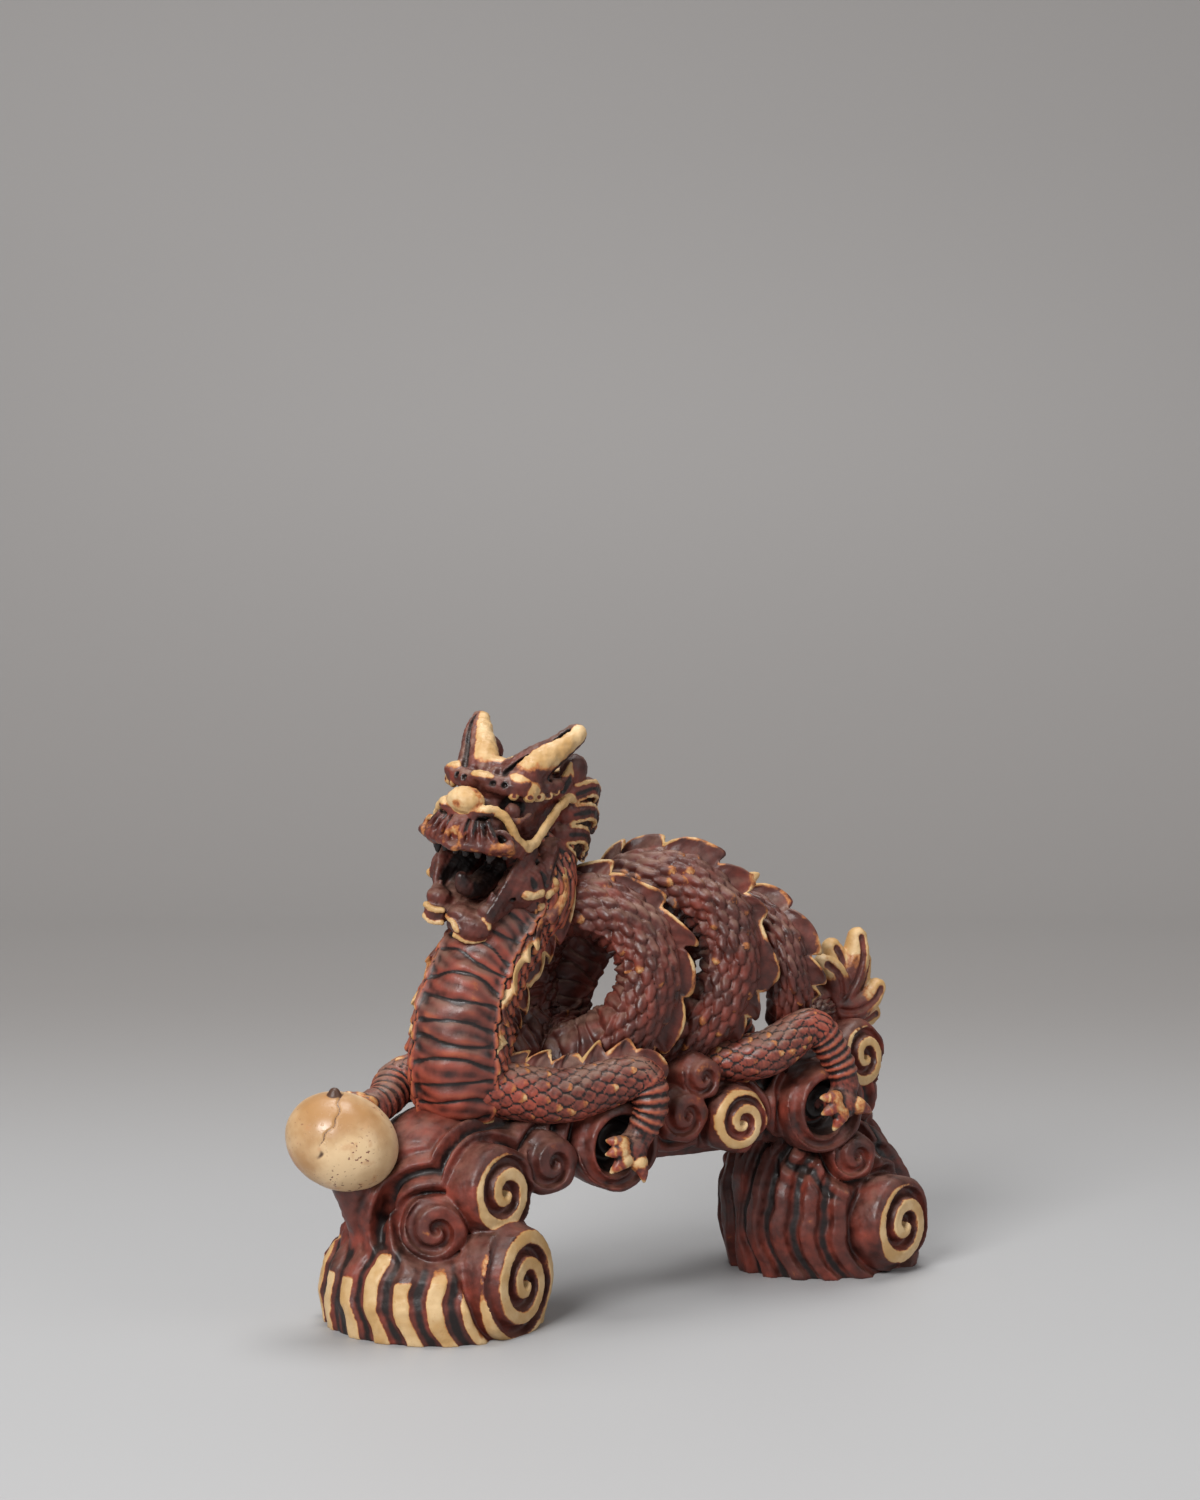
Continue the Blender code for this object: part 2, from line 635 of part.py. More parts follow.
class Assembly:
    """Places each piece and trims it back from every piece that is already in place."""

    def __init__(self):
        for item in list(bpy.data.objects):
            bpy.data.objects.remove(item)
        self.placed = []
        self.materials = {}

    def material(self, slot):
        if slot not in self.materials:
            colour, roughness = FINISHES[slot]
            material = bpy.data.materials.new(slot)
            material.use_nodes = True
            shader = material.node_tree.nodes["Principled BSDF"]
            shader.inputs["Base Color"].default_value = (*colour, 1)
            shader.inputs["Roughness"].default_value = roughness
            shader.inputs["Metallic"].default_value = 0.0
            self.materials[slot] = material
        return self.materials[slot]

    def solid(self, name, builder, grow=0.0):
        mesh = builder(grow)
        data = bpy.data.meshes.new(name)
        mesh.to_mesh(data)
        mesh.free()
        item = bpy.data.objects.new(name, data)
        bpy.context.collection.objects.link(item)
        return item

    def cut(self, item, other, operation):
        step = item.modifiers.new(operation.lower(), "BOOLEAN")
        step.operation = operation
        step.solver = "MANIFOLD"
        step.object = other
        other.hide_render = True
        other.display_type = "WIRE"

    def add(self, name, slot, builders):
        item = self.solid(name, builders[0])
        tools = []
        for builder in builders[1:]:
            tools.append(self.solid(name + "_join", builder))
            self.cut(item, tools[-1], "UNION")
        low, high = reach_of(builders)
        for earlier_low, earlier_high, earlier in self.placed:
            if not apart(low, high, earlier_low, earlier_high):
                for builder in earlier:
                    tools.append(self.solid(name + "_seat", builder, SEAM))
                    self.cut(item, tools[-1], "DIFFERENCE")
        keep_main_body(item)
        for tool in tools:
            bpy.data.objects.remove(tool)
        item.data.materials.append(self.material(slot))
        item.data.polygons.foreach_set("material_index", [0] * len(item.data.polygons))
        item.data.shade_smooth()
        item.data.set_sharp_from_angle(angle=radians(40))
        self.placed.append((low, high, builders))


def reach_of(builders):
    """Lowest and highest corners of a piece before it is trimmed."""
    points = []
    for builder in builders:
        mesh = builder(SEAM)
        points += [vert.co.copy() for vert in mesh.verts]
        mesh.free()
    low = [min(point[axis] for point in points) for axis in range(3)]
    high = [max(point[axis] for point in points) for axis in range(3)]
    return low, high


def apart(low_a, high_a, low_b, high_b):
    return any(low_a[axis] > high_b[axis] or low_b[axis] > high_a[axis] for axis in range(3))


def keep_main_body(item):
    """Applies the joins and cuts, and drops off-cuts that no longer belong to the piece."""
    scene = bpy.context.evaluated_depsgraph_get()
    data = bpy.data.meshes.new_from_object(item.evaluated_get(scene))
    item.modifiers.clear()
    data.materials.clear()
    item.data = data
    mesh = bmesh.new()
    mesh.from_mesh(data)
    left = set(mesh.verts)
    bodies = []
    while left:
        body = set()
        front = [left.pop()]
        while front:
            vert = front.pop()
            body.add(vert)
            for edge in vert.link_edges:
                other = edge.other_vert(vert)
                if other in left:
                    left.remove(other)
                    front.append(other)
        bodies.append(body)
    bodies.sort(key=body_size, reverse=True)
    for body in bodies[1:]:
        bmesh.ops.delete(mesh, geom=list(body), context="VERTS")
    mesh.to_mesh(data)
    mesh.free()


def body_size(body):
    """Diagonal of the box round a set of vertices."""
    low = Vector([min(vert.co[axis] for vert in body) for axis in range(3)])
    high = Vector([max(vert.co[axis] for vert in body) for axis in range(3)])
    return (high - low).length


def build():
    """Puts the pieces in place, from those that stay whole to those that are seated against them."""
    parts = Assembly()
    parts.add("pearl", "ivory_resin", pearl())
    parts.add("skull", "stained_resin", skull())
    parts.add("lower_jaw", "stained_resin", lower_jaw())
    parts.add("tongue", "dark_stain", tongue())
    parts.add("neck", "stained_resin", neck())
    lead_in = [mm(-37, -0.5, 51), mm(-28.5, 3, 51)]
    parts.add("coil_1", "stained_resin", coil(COIL_START, COIL_ENDS[0], lead_in))
    parts.add("coil_2", "stained_resin", coil(COIL_ENDS[0], COIL_ENDS[1]))
    parts.add("coil_3", "stained_resin", coil(COIL_ENDS[1], COIL_ENDS[2]))
    parts.add("tail", "stained_resin", tail())
    arm_radii = [ARM_RADIUS, ARM_RADIUS * 1.05, ARM_RADIUS * 0.75, WRIST_RADIUS]
    parts.add("left_foreleg", "stained_resin", [limb(foreleg(1), arm_radii)])
    parts.add("right_foreleg", "stained_resin", [limb(foreleg(-1), [ARM_RADIUS, ARM_RADIUS, WRIST_RADIUS])])
    for side, name in ((1, "left"), (-1, "right")):
        radii = [THIGH_RADIUS, THIGH_RADIUS * 1.1, THIGH_RADIUS * 0.8, WRIST_RADIUS]
        parts.add(name + "_hind_leg", "stained_resin", [limb(hind_leg(side), radii)])
    parts.add("left_fore_paw", "ivory_resin", paw(left_fore_paw_centre(), Vector((-1, -0.1, 0.15)), UP))
    holding = Vector((-0.75, -0.5, 0.35))
    parts.add("right_fore_paw", "ivory_resin", paw(right_fore_paw_centre(), holding, LEFT))
    for side, name in ((1, "left"), (-1, "right")):
        centre = mirrored(left_hind_paw_centre(), side)
        parts.add(name + "_hind_paw", "ivory_resin", paw(centre, Vector((-1, -0.1 * side, -0.1)), UP))
    parts.add("left_fore_cup", "stained_cloud", cloud_cup(beam_side(-10 * MM, 35.2 * MM, -3 * MM), LEFT))
    hind_cup = beam_side(43 * MM, 37.5 * MM, -3 * MM)
    parts.add("left_hind_cup", "stained_cloud", cloud_cup(hind_cup, LEFT))
    parts.add("right_hind_cup", "stained_cloud", cloud_cup(mirrored(hind_cup, -1), -LEFT))
    for side, name in ((1, "left"), (-1, "right")):
        for scroll_name, place in side_scrolls(side).items():
            parts.add(name + "_" + scroll_name, "ivory_resin", scroll(*place))
    parts.add("front_column", "stained_cloud", front_column())
    parts.add("cloud_beam", "stained_cloud", beam())
    front_sizes = FRONT_FOOT_LENGTH, FRONT_FOOT_WIDTH, FRONT_FOOT_HEIGHT, 0
    front_ribs = FRONT_FOOT_RIBS, FRONT_FOOT_RIB_DEPTH
    parts.add("front_foot", "stained_cloud", cloud_foot(FRONT_FOOT_X, *front_sizes, *front_ribs))
    rear_sizes = REAR_FOOT_LENGTH, REAR_FOOT_WIDTH, REAR_FOOT_HEIGHT, REAR_FOOT_LEAN
    rear_ribs = REAR_FOOT_RIBS, REAR_FOOT_RIB_DEPTH
    parts.add("rear_foot", "stained_cloud", cloud_foot(REAR_FOOT_X, *rear_sizes, *rear_ribs))
    parts.add("pearl_stem", "stained_cloud", pearl_stem())
    parts.add("neck_crest", "ivory_resin", neck_crest())
    for number, span in enumerate(CREST_SPANS, 1):
        parts.add("crest_%d" % number, "ivory_resin", coil_crest(*span))
    parts.add("tail_tuft", "ivory_resin", tail_tuft())
    parts.add("nose", "ivory_resin", nose())
    for side, name in ((1, "left"), (-1, "right")):
        parts.add(name + "_horn", "ivory_resin", horn(side))
        parts.add(name + "_brow", "stained_resin", brow(side))
        parts.add(name + "_ear", "stained_resin", ear(side))
        parts.add(name + "_whisker", "ivory_resin", whisker(side))
        parts.add(name + "_mane", "stained_resin", mane(side))


build()
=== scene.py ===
"""Looks of the dragon ornament: sculpted surfaces, stained resin, a pale studio and the photo's view.

Lengths are in millimetres until a mesh is made. The dragon faces -X and its left side is -Y.
"""
from collections import namedtuple
from math import cos, pi, radians, sin

import bpy
import numpy as np
import openvdb
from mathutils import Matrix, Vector


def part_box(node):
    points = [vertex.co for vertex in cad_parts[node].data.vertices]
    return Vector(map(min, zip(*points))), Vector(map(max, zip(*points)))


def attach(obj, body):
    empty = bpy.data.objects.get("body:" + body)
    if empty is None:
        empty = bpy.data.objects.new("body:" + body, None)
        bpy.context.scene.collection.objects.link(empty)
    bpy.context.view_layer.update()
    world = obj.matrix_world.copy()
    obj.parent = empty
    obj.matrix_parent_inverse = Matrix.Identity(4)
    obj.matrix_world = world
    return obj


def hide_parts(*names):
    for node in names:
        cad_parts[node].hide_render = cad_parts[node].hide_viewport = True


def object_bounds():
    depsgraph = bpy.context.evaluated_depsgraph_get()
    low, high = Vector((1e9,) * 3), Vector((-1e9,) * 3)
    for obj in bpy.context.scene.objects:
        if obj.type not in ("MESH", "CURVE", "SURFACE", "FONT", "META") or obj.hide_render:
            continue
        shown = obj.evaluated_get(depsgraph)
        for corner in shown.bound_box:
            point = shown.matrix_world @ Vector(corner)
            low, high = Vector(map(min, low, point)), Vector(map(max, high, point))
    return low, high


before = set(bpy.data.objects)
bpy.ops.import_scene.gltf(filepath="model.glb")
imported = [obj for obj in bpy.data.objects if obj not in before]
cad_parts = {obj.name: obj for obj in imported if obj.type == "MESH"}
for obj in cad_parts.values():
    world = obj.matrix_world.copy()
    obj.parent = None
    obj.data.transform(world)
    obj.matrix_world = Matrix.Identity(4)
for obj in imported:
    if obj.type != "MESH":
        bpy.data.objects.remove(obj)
CAD_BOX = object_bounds()
CAD_LOW, CAD_HIGH = (np.array(corner) * 1000 for corner in CAD_BOX)

MM = 0.001
UP = np.array((0.0, 0.0, 1.0))
LEFT = np.array((0.0, -1.0, 0.0))
COARSE = 1.0
CLOUD_VOXEL = 0.405 * COARSE
FINE_VOXEL = 0.31 * COARSE
SKIN_STEP = 0.3 * COARSE


# Vectors, curves and blends

def unit(vector):
    vector = np.asarray(vector, float)
    return vector / np.linalg.norm(vector, axis=-1, keepdims=True)


def ramp(value, low, high):
    """0 below low, 1 above high and a smooth rise between."""
    share = np.clip((value - low) / (high - low), 0, 1)
    return share * share * (3 - 2 * share)


def curve(points, steps):
    """Points on a smooth curve through the given rows, which may carry radii as extra columns."""
    points = np.asarray(points, float)
    ends = np.vstack((2 * points[0] - points[1], points, 2 * points[-1] - points[-2]))
    rows = []
    for a, b, c, d in zip(ends, ends[1:], ends[2:], ends[3:]):
        for t in np.arange(steps) / steps:
            bend = (2 * a - 5 * b + 4 * c - d) * t * t + (3 * b - a - 3 * c + d) * t ** 3
            rows.append(b + ((c - a) * t + bend) / 2)
    rows.append(points[-1])
    return np.array(rows)


def even(points, step):
    """The same curve with points at even distances, and the distance of each from the start."""
    length = np.concatenate(([0], np.cumsum(np.linalg.norm(np.diff(points[:, :3], axis=0), axis=1))))
    places = np.linspace(0, length[-1], max(4, int(length[-1] / step)))
    columns = [np.interp(places, length, points[:, k]) for k in range(points.shape[1])]
    return np.stack(columns, 1), places


def waves(points, scale, seed):
    """Soft cheap noise from -1 to 1: a few sine waves in seeded directions."""
    draw = np.random.default_rng(seed)
    total = np.zeros(points.shape[:-1])
    for _ in range(5):
        way = unit(draw.normal(size=3)) * draw.uniform(0.6, 1.6) * 2 * pi / scale
        total += np.sin(points @ way + draw.uniform(0, 2 * pi))
    return total / 5


# Clay: distance fields that forms are added to, cut from and painted on

Form = namedtuple("Form", "low high distance")
# Distance of empty space, of a spot out of reach, kept round a rod, and kept on both sides of the surface
EMPTY = 6.0
FAR = 99.0
MARGIN = 3
BAND = 2.0


def ball(centre, radii, axes=None):
    centre = np.asarray(centre, float)
    radii = np.broadcast_to(np.asarray(radii, float), 3)
    reach = radii.max()

    def distance(points):
        local = points - centre
        if axes is not None:
            local = local @ np.asarray(axes).T
        near = np.linalg.norm(local / radii, axis=-1)
        far = np.linalg.norm(local / radii ** 2, axis=-1)
        return near * (near - 1) / np.maximum(far, 1e-6)
    return Form(centre - reach, centre + reach, distance)


def nearby(points, low, high):
    """Slices of a grid of points that reach from one corner to another along the first and last axes."""
    first = np.searchsorted(points[:, 0, 0, 0], (low[0], high[0]))
    last = np.searchsorted(points[0, 0, :, 2], (low[2], high[2]))
    return slice(*first), slice(None), slice(*last)


def strand(stops, steps=4, squeeze=None):
    """A tapered rod through rows of x, y, z, radius; squeeze is a direction and how thin it gets there."""
    rows = curve(stops, steps)
    reach = rows[:, 3].max()
    flat_way, thin = (unit(squeeze[0]), squeeze[1]) if squeeze else (UP, 1.0)

    def flattened(offset):
        return offset + (offset @ flat_way)[..., None] * flat_way * (1 / thin - 1)

    def distance(points):
        best = np.full(points.shape[:-1], FAR)
        for a, b in zip(rows, rows[1:]):
            low = np.minimum(a[:3], b[:3]) - reach - MARGIN
            high = np.maximum(a[:3], b[:3]) + reach + MARGIN
            near = nearby(points, low, high)
            way = flattened(b[:3] - a[:3])
            offset = flattened(points[near] - a[:3])
            share = np.clip(offset @ way / max(way @ way, 1e-9), 0, 1)
            gap = np.linalg.norm(offset - share[..., None] * way, axis=-1)
            best[near] = np.minimum(best[near], gap - (a[3] + (b[3] - a[3]) * share))
        return best * (0.5 + 0.5 * thin)
    return Form(rows[:, :3].min(0) - reach, rows[:, :3].max(0) + reach, distance)


def node_box(node):
    return (np.array(corner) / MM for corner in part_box(node))


class Clay:
    """A grid of distances and paint. A form has a box and a function from points to distances."""
    def __init__(self, low, high, voxel):
        self.low = np.asarray(low, float)
        self.voxel = voxel
        self.size = np.ceil((np.asarray(high) - self.low) / voxel).astype(int) + 1
        self.field = np.full(self.size, EMPTY, np.float32)
        self.cream = np.zeros(self.size, np.float32)

    def window(self, low, high):
        first = np.clip(np.floor((low - self.low) / self.voxel).astype(int), 0, self.size)
        last = np.clip(np.ceil((high - self.low) / self.voxel).astype(int) + 1, 0, self.size)
        axes = [self.low[k] + self.voxel * np.arange(first[k], last[k]) for k in range(3)]
        where = tuple(slice(a, b) for a, b in zip(first, last))
        return where, np.stack(np.meshgrid(*axes, indexing="ij"), -1)

    def press(self, form, soft, sign, cream):
        """Joins a form or takes it away; cream is a number or a function of the points, and below zero it is
        painted shade.
        """
        where, points = self.window(form.low - soft - 1, form.high + soft + 1)
        if points.size == 0:
            return
        old = self.field[where]
        new = sign * form.distance(points)
        blend = np.clip(0.5 + 0.5 * sign * (old - new) / soft, 0, 1)
        self.field[where] = old + (new - old) * blend - sign * soft * blend * (1 - blend)
        if cream is not None:
            paint = cream(points) if callable(cream) else cream
            self.cream[where] += (paint - self.cream[where]) * ramp(blend, 0.3, 0.7)

    def add(self, form, soft=0.8, cream=0.0):
        self.press(form, soft, 1, cream)

    def cut(self, form, soft=0.5, cream=None):
        self.press(form, soft, -1, cream)

    def surface(self):
        """Points, quads and the paint at each point."""
        grid = openvdb.FloatGrid()
        grid.background = BAND
        grid.copyFromArray(np.clip(self.field, -BAND, BAND).astype(np.float32))
        points, quads = grid.convertToQuads(isovalue=0.0)
        base = np.clip(np.floor(points).astype(int), 0, self.size - 2)
        share = points - base
        paint = np.zeros(len(points))
        for corner in np.ndindex(2, 2, 2):
            weight = np.prod(np.where(corner, share, 1 - share), axis=1)
            paint += weight * self.cream[tuple((base + corner).T)]
        return points * self.voxel + self.low, quads.astype(np.int64), paint


# Meshes

FINE_ROUNDS = 4
BROAD_ROUNDS = 18


def sums(indices, values, count):
    return np.stack([np.bincount(indices, values[:, k], count) for k in range(3)], 1)


def normals_of(points, quads):
    a, b, c, d = (points[quads[:, k]] for k in range(4))
    facing = np.cross(c - a, d - b)
    total = sum(sums(quads[:, k], facing, len(points)) for k in range(4))
    return total / np.maximum(np.linalg.norm(total, axis=1, keepdims=True), 1e-12)


def raised(points, quads, amount):
    return points + normals_of(points, quads) * amount[:, None]


def rough(points, quads, paint, amount, scale, seed):
    """An uneven hand-carved surface."""
    bumps = waves(points, scale, seed) + 0.5 * waves(points, scale * 0.4, seed + 1)
    return raised(points, quads, amount * bumps), quads, paint


def heights(points, quads, rounds):
    """How far each point stands over the surface averaged round it, after each count of rounds."""
    normals = normals_of(points, quads)
    ends = np.concatenate([quads[:, [k, (k + 1) % 4]] for k in range(4)])
    ends = np.concatenate((ends, ends[:, ::-1]))
    ends = ends[ends[:, 0] != ends[:, 1]]
    count = np.bincount(ends[:, 0], minlength=len(points))[:, None]
    level = points
    results = []
    for number in range(1, max(rounds) + 1):
        level = (level + sums(ends[:, 0], level[ends[:, 1]], len(points)) / np.maximum(count, 1)) / 2
        if number in rounds:
            results.append(((points - level) * normals).sum(1))
    return results


def placed(name, data):
    item = bpy.data.objects.new(name, data)
    bpy.context.collection.objects.link(item)
    return item


def make_piece(name, nodes, material, surface, solid=None):
    """A mesh object with its attributes for stain, wear, painted shade and painted highlight, riding on the
    frame in place of its CAD nodes.

    The first points, as many as solid says, are shaded by how far they stand out; the rest are thin fins.
    """
    points, quads, paint = surface
    points = np.clip(points, CAD_LOW, CAD_HIGH)
    fine, broad = paint * 0, paint * 0
    if solid != 0:
        fine, broad = heights(points, quads, (FINE_ROUNDS, BROAD_ROUNDS))
        fine[solid:] = 0
        broad[solid:] = 0
    mesh = bpy.data.meshes.new(name)
    faces = [quad if quad[2] != quad[3] else quad[:3] for quad in quads.tolist()]
    mesh.from_pydata((points * MM).tolist(), [], faces)
    for layer, values in (("cream", paint), ("ridge", fine), ("swell", broad)):
        attribute = mesh.attributes.new(layer, "FLOAT", "POINT")
        attribute.data.foreach_set("value", values.astype(np.float32))
    mesh.shade_smooth()
    mesh.materials.append(material)
    item = placed(name, mesh)
    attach(item, "root")
    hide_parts(*nodes)


def merged(first, second):
    points = np.vstack((first[0], second[0]))
    quads = np.vstack((first[1], second[1] + len(first[0])))
    return points, quads, np.concatenate((first[2], second[2]))


def swept(centres, ways, backs, reach, angles, paint):
    """Surface over rings; reach holds the distance from the centre for each ring and angle."""
    across = np.cross(ways, backs)
    offset = backs[:, None] * np.cos(angles)[..., None] + across[:, None] * np.sin(angles)[..., None]
    return closed_grid(centres[:, None] + offset * reach[..., None], paint)


def closed_grid(points, paint):
    """Quads over a grid that wraps round sideways, with a pole at each end."""
    rings, sides = points.shape[:2]
    row = np.arange(rings - 1)[:, None] * sides
    step = np.arange(sides)[None, :]
    after = (step + 1) % sides
    quads = np.stack((row + step, row + after, row + sides + after, row + sides + step), -1).reshape(-1, 4)
    poles = np.array((points[0].mean(0), points[-1].mean(0)))
    first, last = rings * sides, rings * sides + 1
    step, after = step[0], after[0]
    end = (rings - 1) * sides
    low_cap = np.stack((after, step, step * 0 + first, step * 0 + first), -1)
    high_cap = np.stack((end + step, end + after, step * 0 + last, step * 0 + last), -1)
    points = np.vstack((points.reshape(-1, 3), poles))
    paint = np.concatenate((paint.reshape(-1), (paint[0].mean(), paint[-1].mean())))
    return points, np.vstack((quads, low_cap, high_cap)), paint


# Relief of the hide

def scales(u, v, long):
    """Height and wear of overlapping scales whose free ends point along u."""
    row = np.floor(u / long)
    height = np.zeros(u.shape)
    wear = np.zeros(u.shape)
    open_spot = np.ones(u.shape, bool)
    for behind in (1, 0):
        number = row - behind
        shift = 0.5 * (number % 2)
        column = np.round(v - shift)
        chance = (np.sin(number * 12.99 + (column % 12) * 78.23) * 437.6) % 1
        x = (u / long - number) / (1.32 + 0.2 * chance)
        y = (v - shift - column) * 2.05
        edge = (np.maximum(x - 0.35, 0) / 0.65) ** 2 + y ** 2
        lift = (0.42 + 0.58 * x) * (1 - 0.4 * y * y) * np.sqrt(np.clip(1 - edge ** 2, 0, 1))
        inside = open_spot & (edge < 1)
        height = np.where(inside, lift * (0.7 + 0.45 * chance), height)
        wear = np.where(inside, ramp(chance, 0.6, 0.95) * ramp(x, 0.35, 0.85), wear)
        open_spot &= ~inside
    return height, wear


def frames(centres, backs):
    ways = unit(np.gradient(centres, axis=0))
    backs = unit(backs - (backs * ways).sum(1, keepdims=True) * ways)
    return ways, backs


# Body

COIL_RADIUS = 6.5
TAIL_RADIUS = 4.2
COIL_PITCH = 20.8
COIL_FIRST_X = -11.2
COIL_BULGE = 9.0
COIL_FAR_BULGE = 5.4
COIL_TUCK = 12.5
COIL_RISE = 4.5
COIL_LAUNCH = (-50, 30)
COIL_CALM = (620, 820)
COIL_HALF_WIDTH = 11.2
COIL_FLOOR = 52.0
COIL_TOPS = np.array((83.5, 87.0, 78.5))
COIL_ENDS = (-130, 180, 540, 850)
TAIL_ROOT = np.array((52.9, -1.98, 57.0))
SCALE_LONG = 2.7
SCALE_COLUMNS = 15
BELLY = 0.8


def coil_centre(turn):
    angle = np.radians(turn)
    loop = np.clip((turn + 180) // 360, 0, 2).astype(int)
    lift = (COIL_TOPS[loop] - COIL_FLOOR) * (1 + np.cos(angle)) / 2
    bulge = COIL_BULGE * np.maximum(np.sin(angle), 0) + COIL_FAR_BULGE * np.minimum(np.sin(angle), 0)
    sway = bulge - COIL_TUCK * ((1 - np.cos(angle)) / 2) ** 2
    swing = COIL_PITCH * turn / 360 + sway * (1 - ramp(turn, *COIL_CALM))
    rise = COIL_RISE * np.sin(angle)
    x = COIL_FIRST_X + rise + (swing - rise) * ramp(turn, *COIL_LAUNCH)
    return np.stack((x, -COIL_HALF_WIDTH * np.sin(angle), COIL_FLOOR + lift), -1)


def coil_back(turn):
    angle = np.radians(turn)
    out = np.sin(angle)
    return np.stack((0.35 + 0.6 * np.maximum(out, 0), -0.45 * out, 0.45 + 0.45 * np.cos(angle)), -1)


def body_line():
    """Rows of centre, back, radius and turn along the body, from the chest to the tail's root."""
    turns = np.arange(COIL_ENDS[0], COIL_ENDS[3] + 1, 7.0)
    share = np.clip((turns - 360) / 540, 0, 1)
    radii = COIL_RADIUS + (TAIL_RADIUS - COIL_RADIUS) * share
    coils = np.hstack((coil_centre(turns), coil_back(turns), radii[:, None], turns[:, None]))
    first_back = coil_back(np.array((COIL_ENDS[0],)))[0]
    lead = [(-37, -0.5, 51, *first_back, 7.4, -190), (-28.5, 3, 51, *first_back, 7.2, -160)]
    middle = (coils[-1, :3] + TAIL_ROOT) / 2 + (0, 0.6, -1.8)
    tail = [(*middle, 0.2, 0, 1, 3.7, 910), (*TAIL_ROOT, 0.1, 0, 1, 3.2, 940)]
    return even(curve(np.vstack((lead, coils, tail)), 2), SKIN_STEP)


def hide(rows, places, belly, columns, scale_long, sides, rub=0.46, plate_height=1.0):
    """Reach and paint of a scaled tube with crosswise plates along its belly."""
    angles = np.broadcast_to(np.arange(sides) * 2 * pi / sides, (len(rows), sides))
    u = np.broadcast_to(places[:, None], angles.shape)
    radius = rows[:, 6:7]
    turned = np.abs((angles + pi) % (2 * pi) - pi)
    v = angles / (2 * pi) * columns
    wobble = 0.25 * np.sin(u * 0.37 + angles * 2) + 0.2 * np.sin(u * 0.9 - angles * 3)
    scale, wear = scales(u + wobble * 0.6, v + wobble * 0.12, scale_long)
    plate = (u / 3.6 + 0.12 * np.cos((pi - turned) * 2) + 0.6 * wobble) % 1
    plate = np.sqrt(np.sin(pi * plate ** 1.4))
    on_belly = ramp(turned, pi - belly - 0.05, pi - belly + 0.05)
    rim = np.exp(-((turned - (pi - belly)) / 0.09) ** 2)
    reach = radius * (1 + 0.03 * np.cos(angles)) - 0.5 + (1 - on_belly) * scale * 1.6
    lumps = np.sin(u * 1.9 + 2 * np.sin(angles * 3)) * np.sin(angles * 6 + u * 0.7)
    reach = reach + on_belly * (plate_height * plate - 0.3) + 0.6 * rim + 0.2 * np.sin(u * 0.6 + angles * 3)
    reach = reach + 0.14 * lumps
    paint = 0.05 * rim + rub * wear * (1 - on_belly)
    return angles, reach, paint


def body():
    rows, places = body_line()
    ways, backs = frames(rows[:, :3], rows[:, 3:6])
    sides = int(2 * pi * COIL_RADIUS / SKIN_STEP)
    angles, reach, paint = hide(rows, places, BELLY, SCALE_COLUMNS, SCALE_LONG, sides)
    ends = (-200, COIL_ENDS[1], COIL_ENDS[2], COIL_ENDS[3], 999)
    for number, name in enumerate(("coil_1", "coil_2", "coil_3", "tail")):
        part = np.nonzero((rows[:, 7] >= ends[number]) & (rows[:, 7] <= ends[number + 1]))[0]
        part = slice(part[0], part[-1] + 2)
        surface = swept(rows[part, :3], ways[part], backs[part], reach[part], angles[part], paint[part])
        make_piece(name, [name], HIDE, surface)
    return rows, places, ways, backs


CREST_HEIGHT = 4.9
CREST_LOBE = 6.6


def fin(rows, places, ways, backs, radii, height):
    """A wavy crest: lobes that lean to the tail, rayed faces, and a thick rubbed rim."""
    across = np.cross(ways, backs)
    local = places - places[0]
    warped = (local + 1.1 * np.sin(local * 0.31 + height) + 0.7 * np.sin(local * 0.83)) / CREST_LOBE
    lobe = warped % 1
    size = 0.85 + 0.2 * np.sin(np.floor(warped) * 2.4)
    ends = ramp(local, 0, 7) * ramp(places[-1] - places, 0, 7)
    tall = height * (0.36 + 0.64 * size * np.sin(pi * lobe ** 1.5) ** 0.8) * (0.25 + 0.75 * ends)
    loop = np.array((0.0, 0.25, 0.5, 0.7, 0.84, 0.94, 1.0))
    share = np.concatenate((loop, loop[::-1]))
    side = np.concatenate((np.ones(7), -np.ones(7)))
    up = share[None] * tall[:, None]
    rays = 0.14 * np.sin(lobe * 6 * pi)[:, None] * np.sin(pi * share)[None]
    thick = 1.25 - 0.75 * share + 0.22 * np.exp(-((share - 0.86) / 0.1) ** 2)
    thick = np.where(share == 1, 0.12, thick)[None] + rays
    sway = 1.0 * np.sin(2 * pi * lobe)[:, None] * share[None] ** 1.5
    lean = 3.0 * (up / height) ** 2
    base = (radii - 0.7)[:, None]
    points = rows[:, None, :3] + backs[:, None] * (base + up + 0.7 * share)[..., None]
    points = points + across[:, None] * (side * thick + sway)[..., None] + ways[:, None] * lean[..., None]
    rim = ramp(up - tall[:, None], -1.05, -0.4) * np.ones_like(points[..., 0])
    broken = 0.62 + 0.8 * waves(points, 9, 51)
    return closed_grid(points, rim * np.clip(broken, 0.1, 1))


def crests(rows, places, ways, backs):
    spans = ((-105, 160, 1), (180, 530, 1), (545, 845, 0.9))
    for number, (first, last, size) in enumerate(spans, 1):
        part = (rows[:, 7] >= first) & (rows[:, 7] <= last)
        name = "crest_%d" % number
        surface = fin(rows[part], places[part], ways[part], backs[part], rows[part, 6], CREST_HEIGHT * size)
        make_piece(name, [name], HIDE, surface, 0)


NECK_RADIUS = 10.0
NECK_BACK = np.array((0.93, -0.22, 0.25))
NECK_PLATES = -1.05
NECK_FRINGES = (((0.4, -0.92, 0.1), 1.7), ((-0.75, 0.65, 0.1), 1.6))


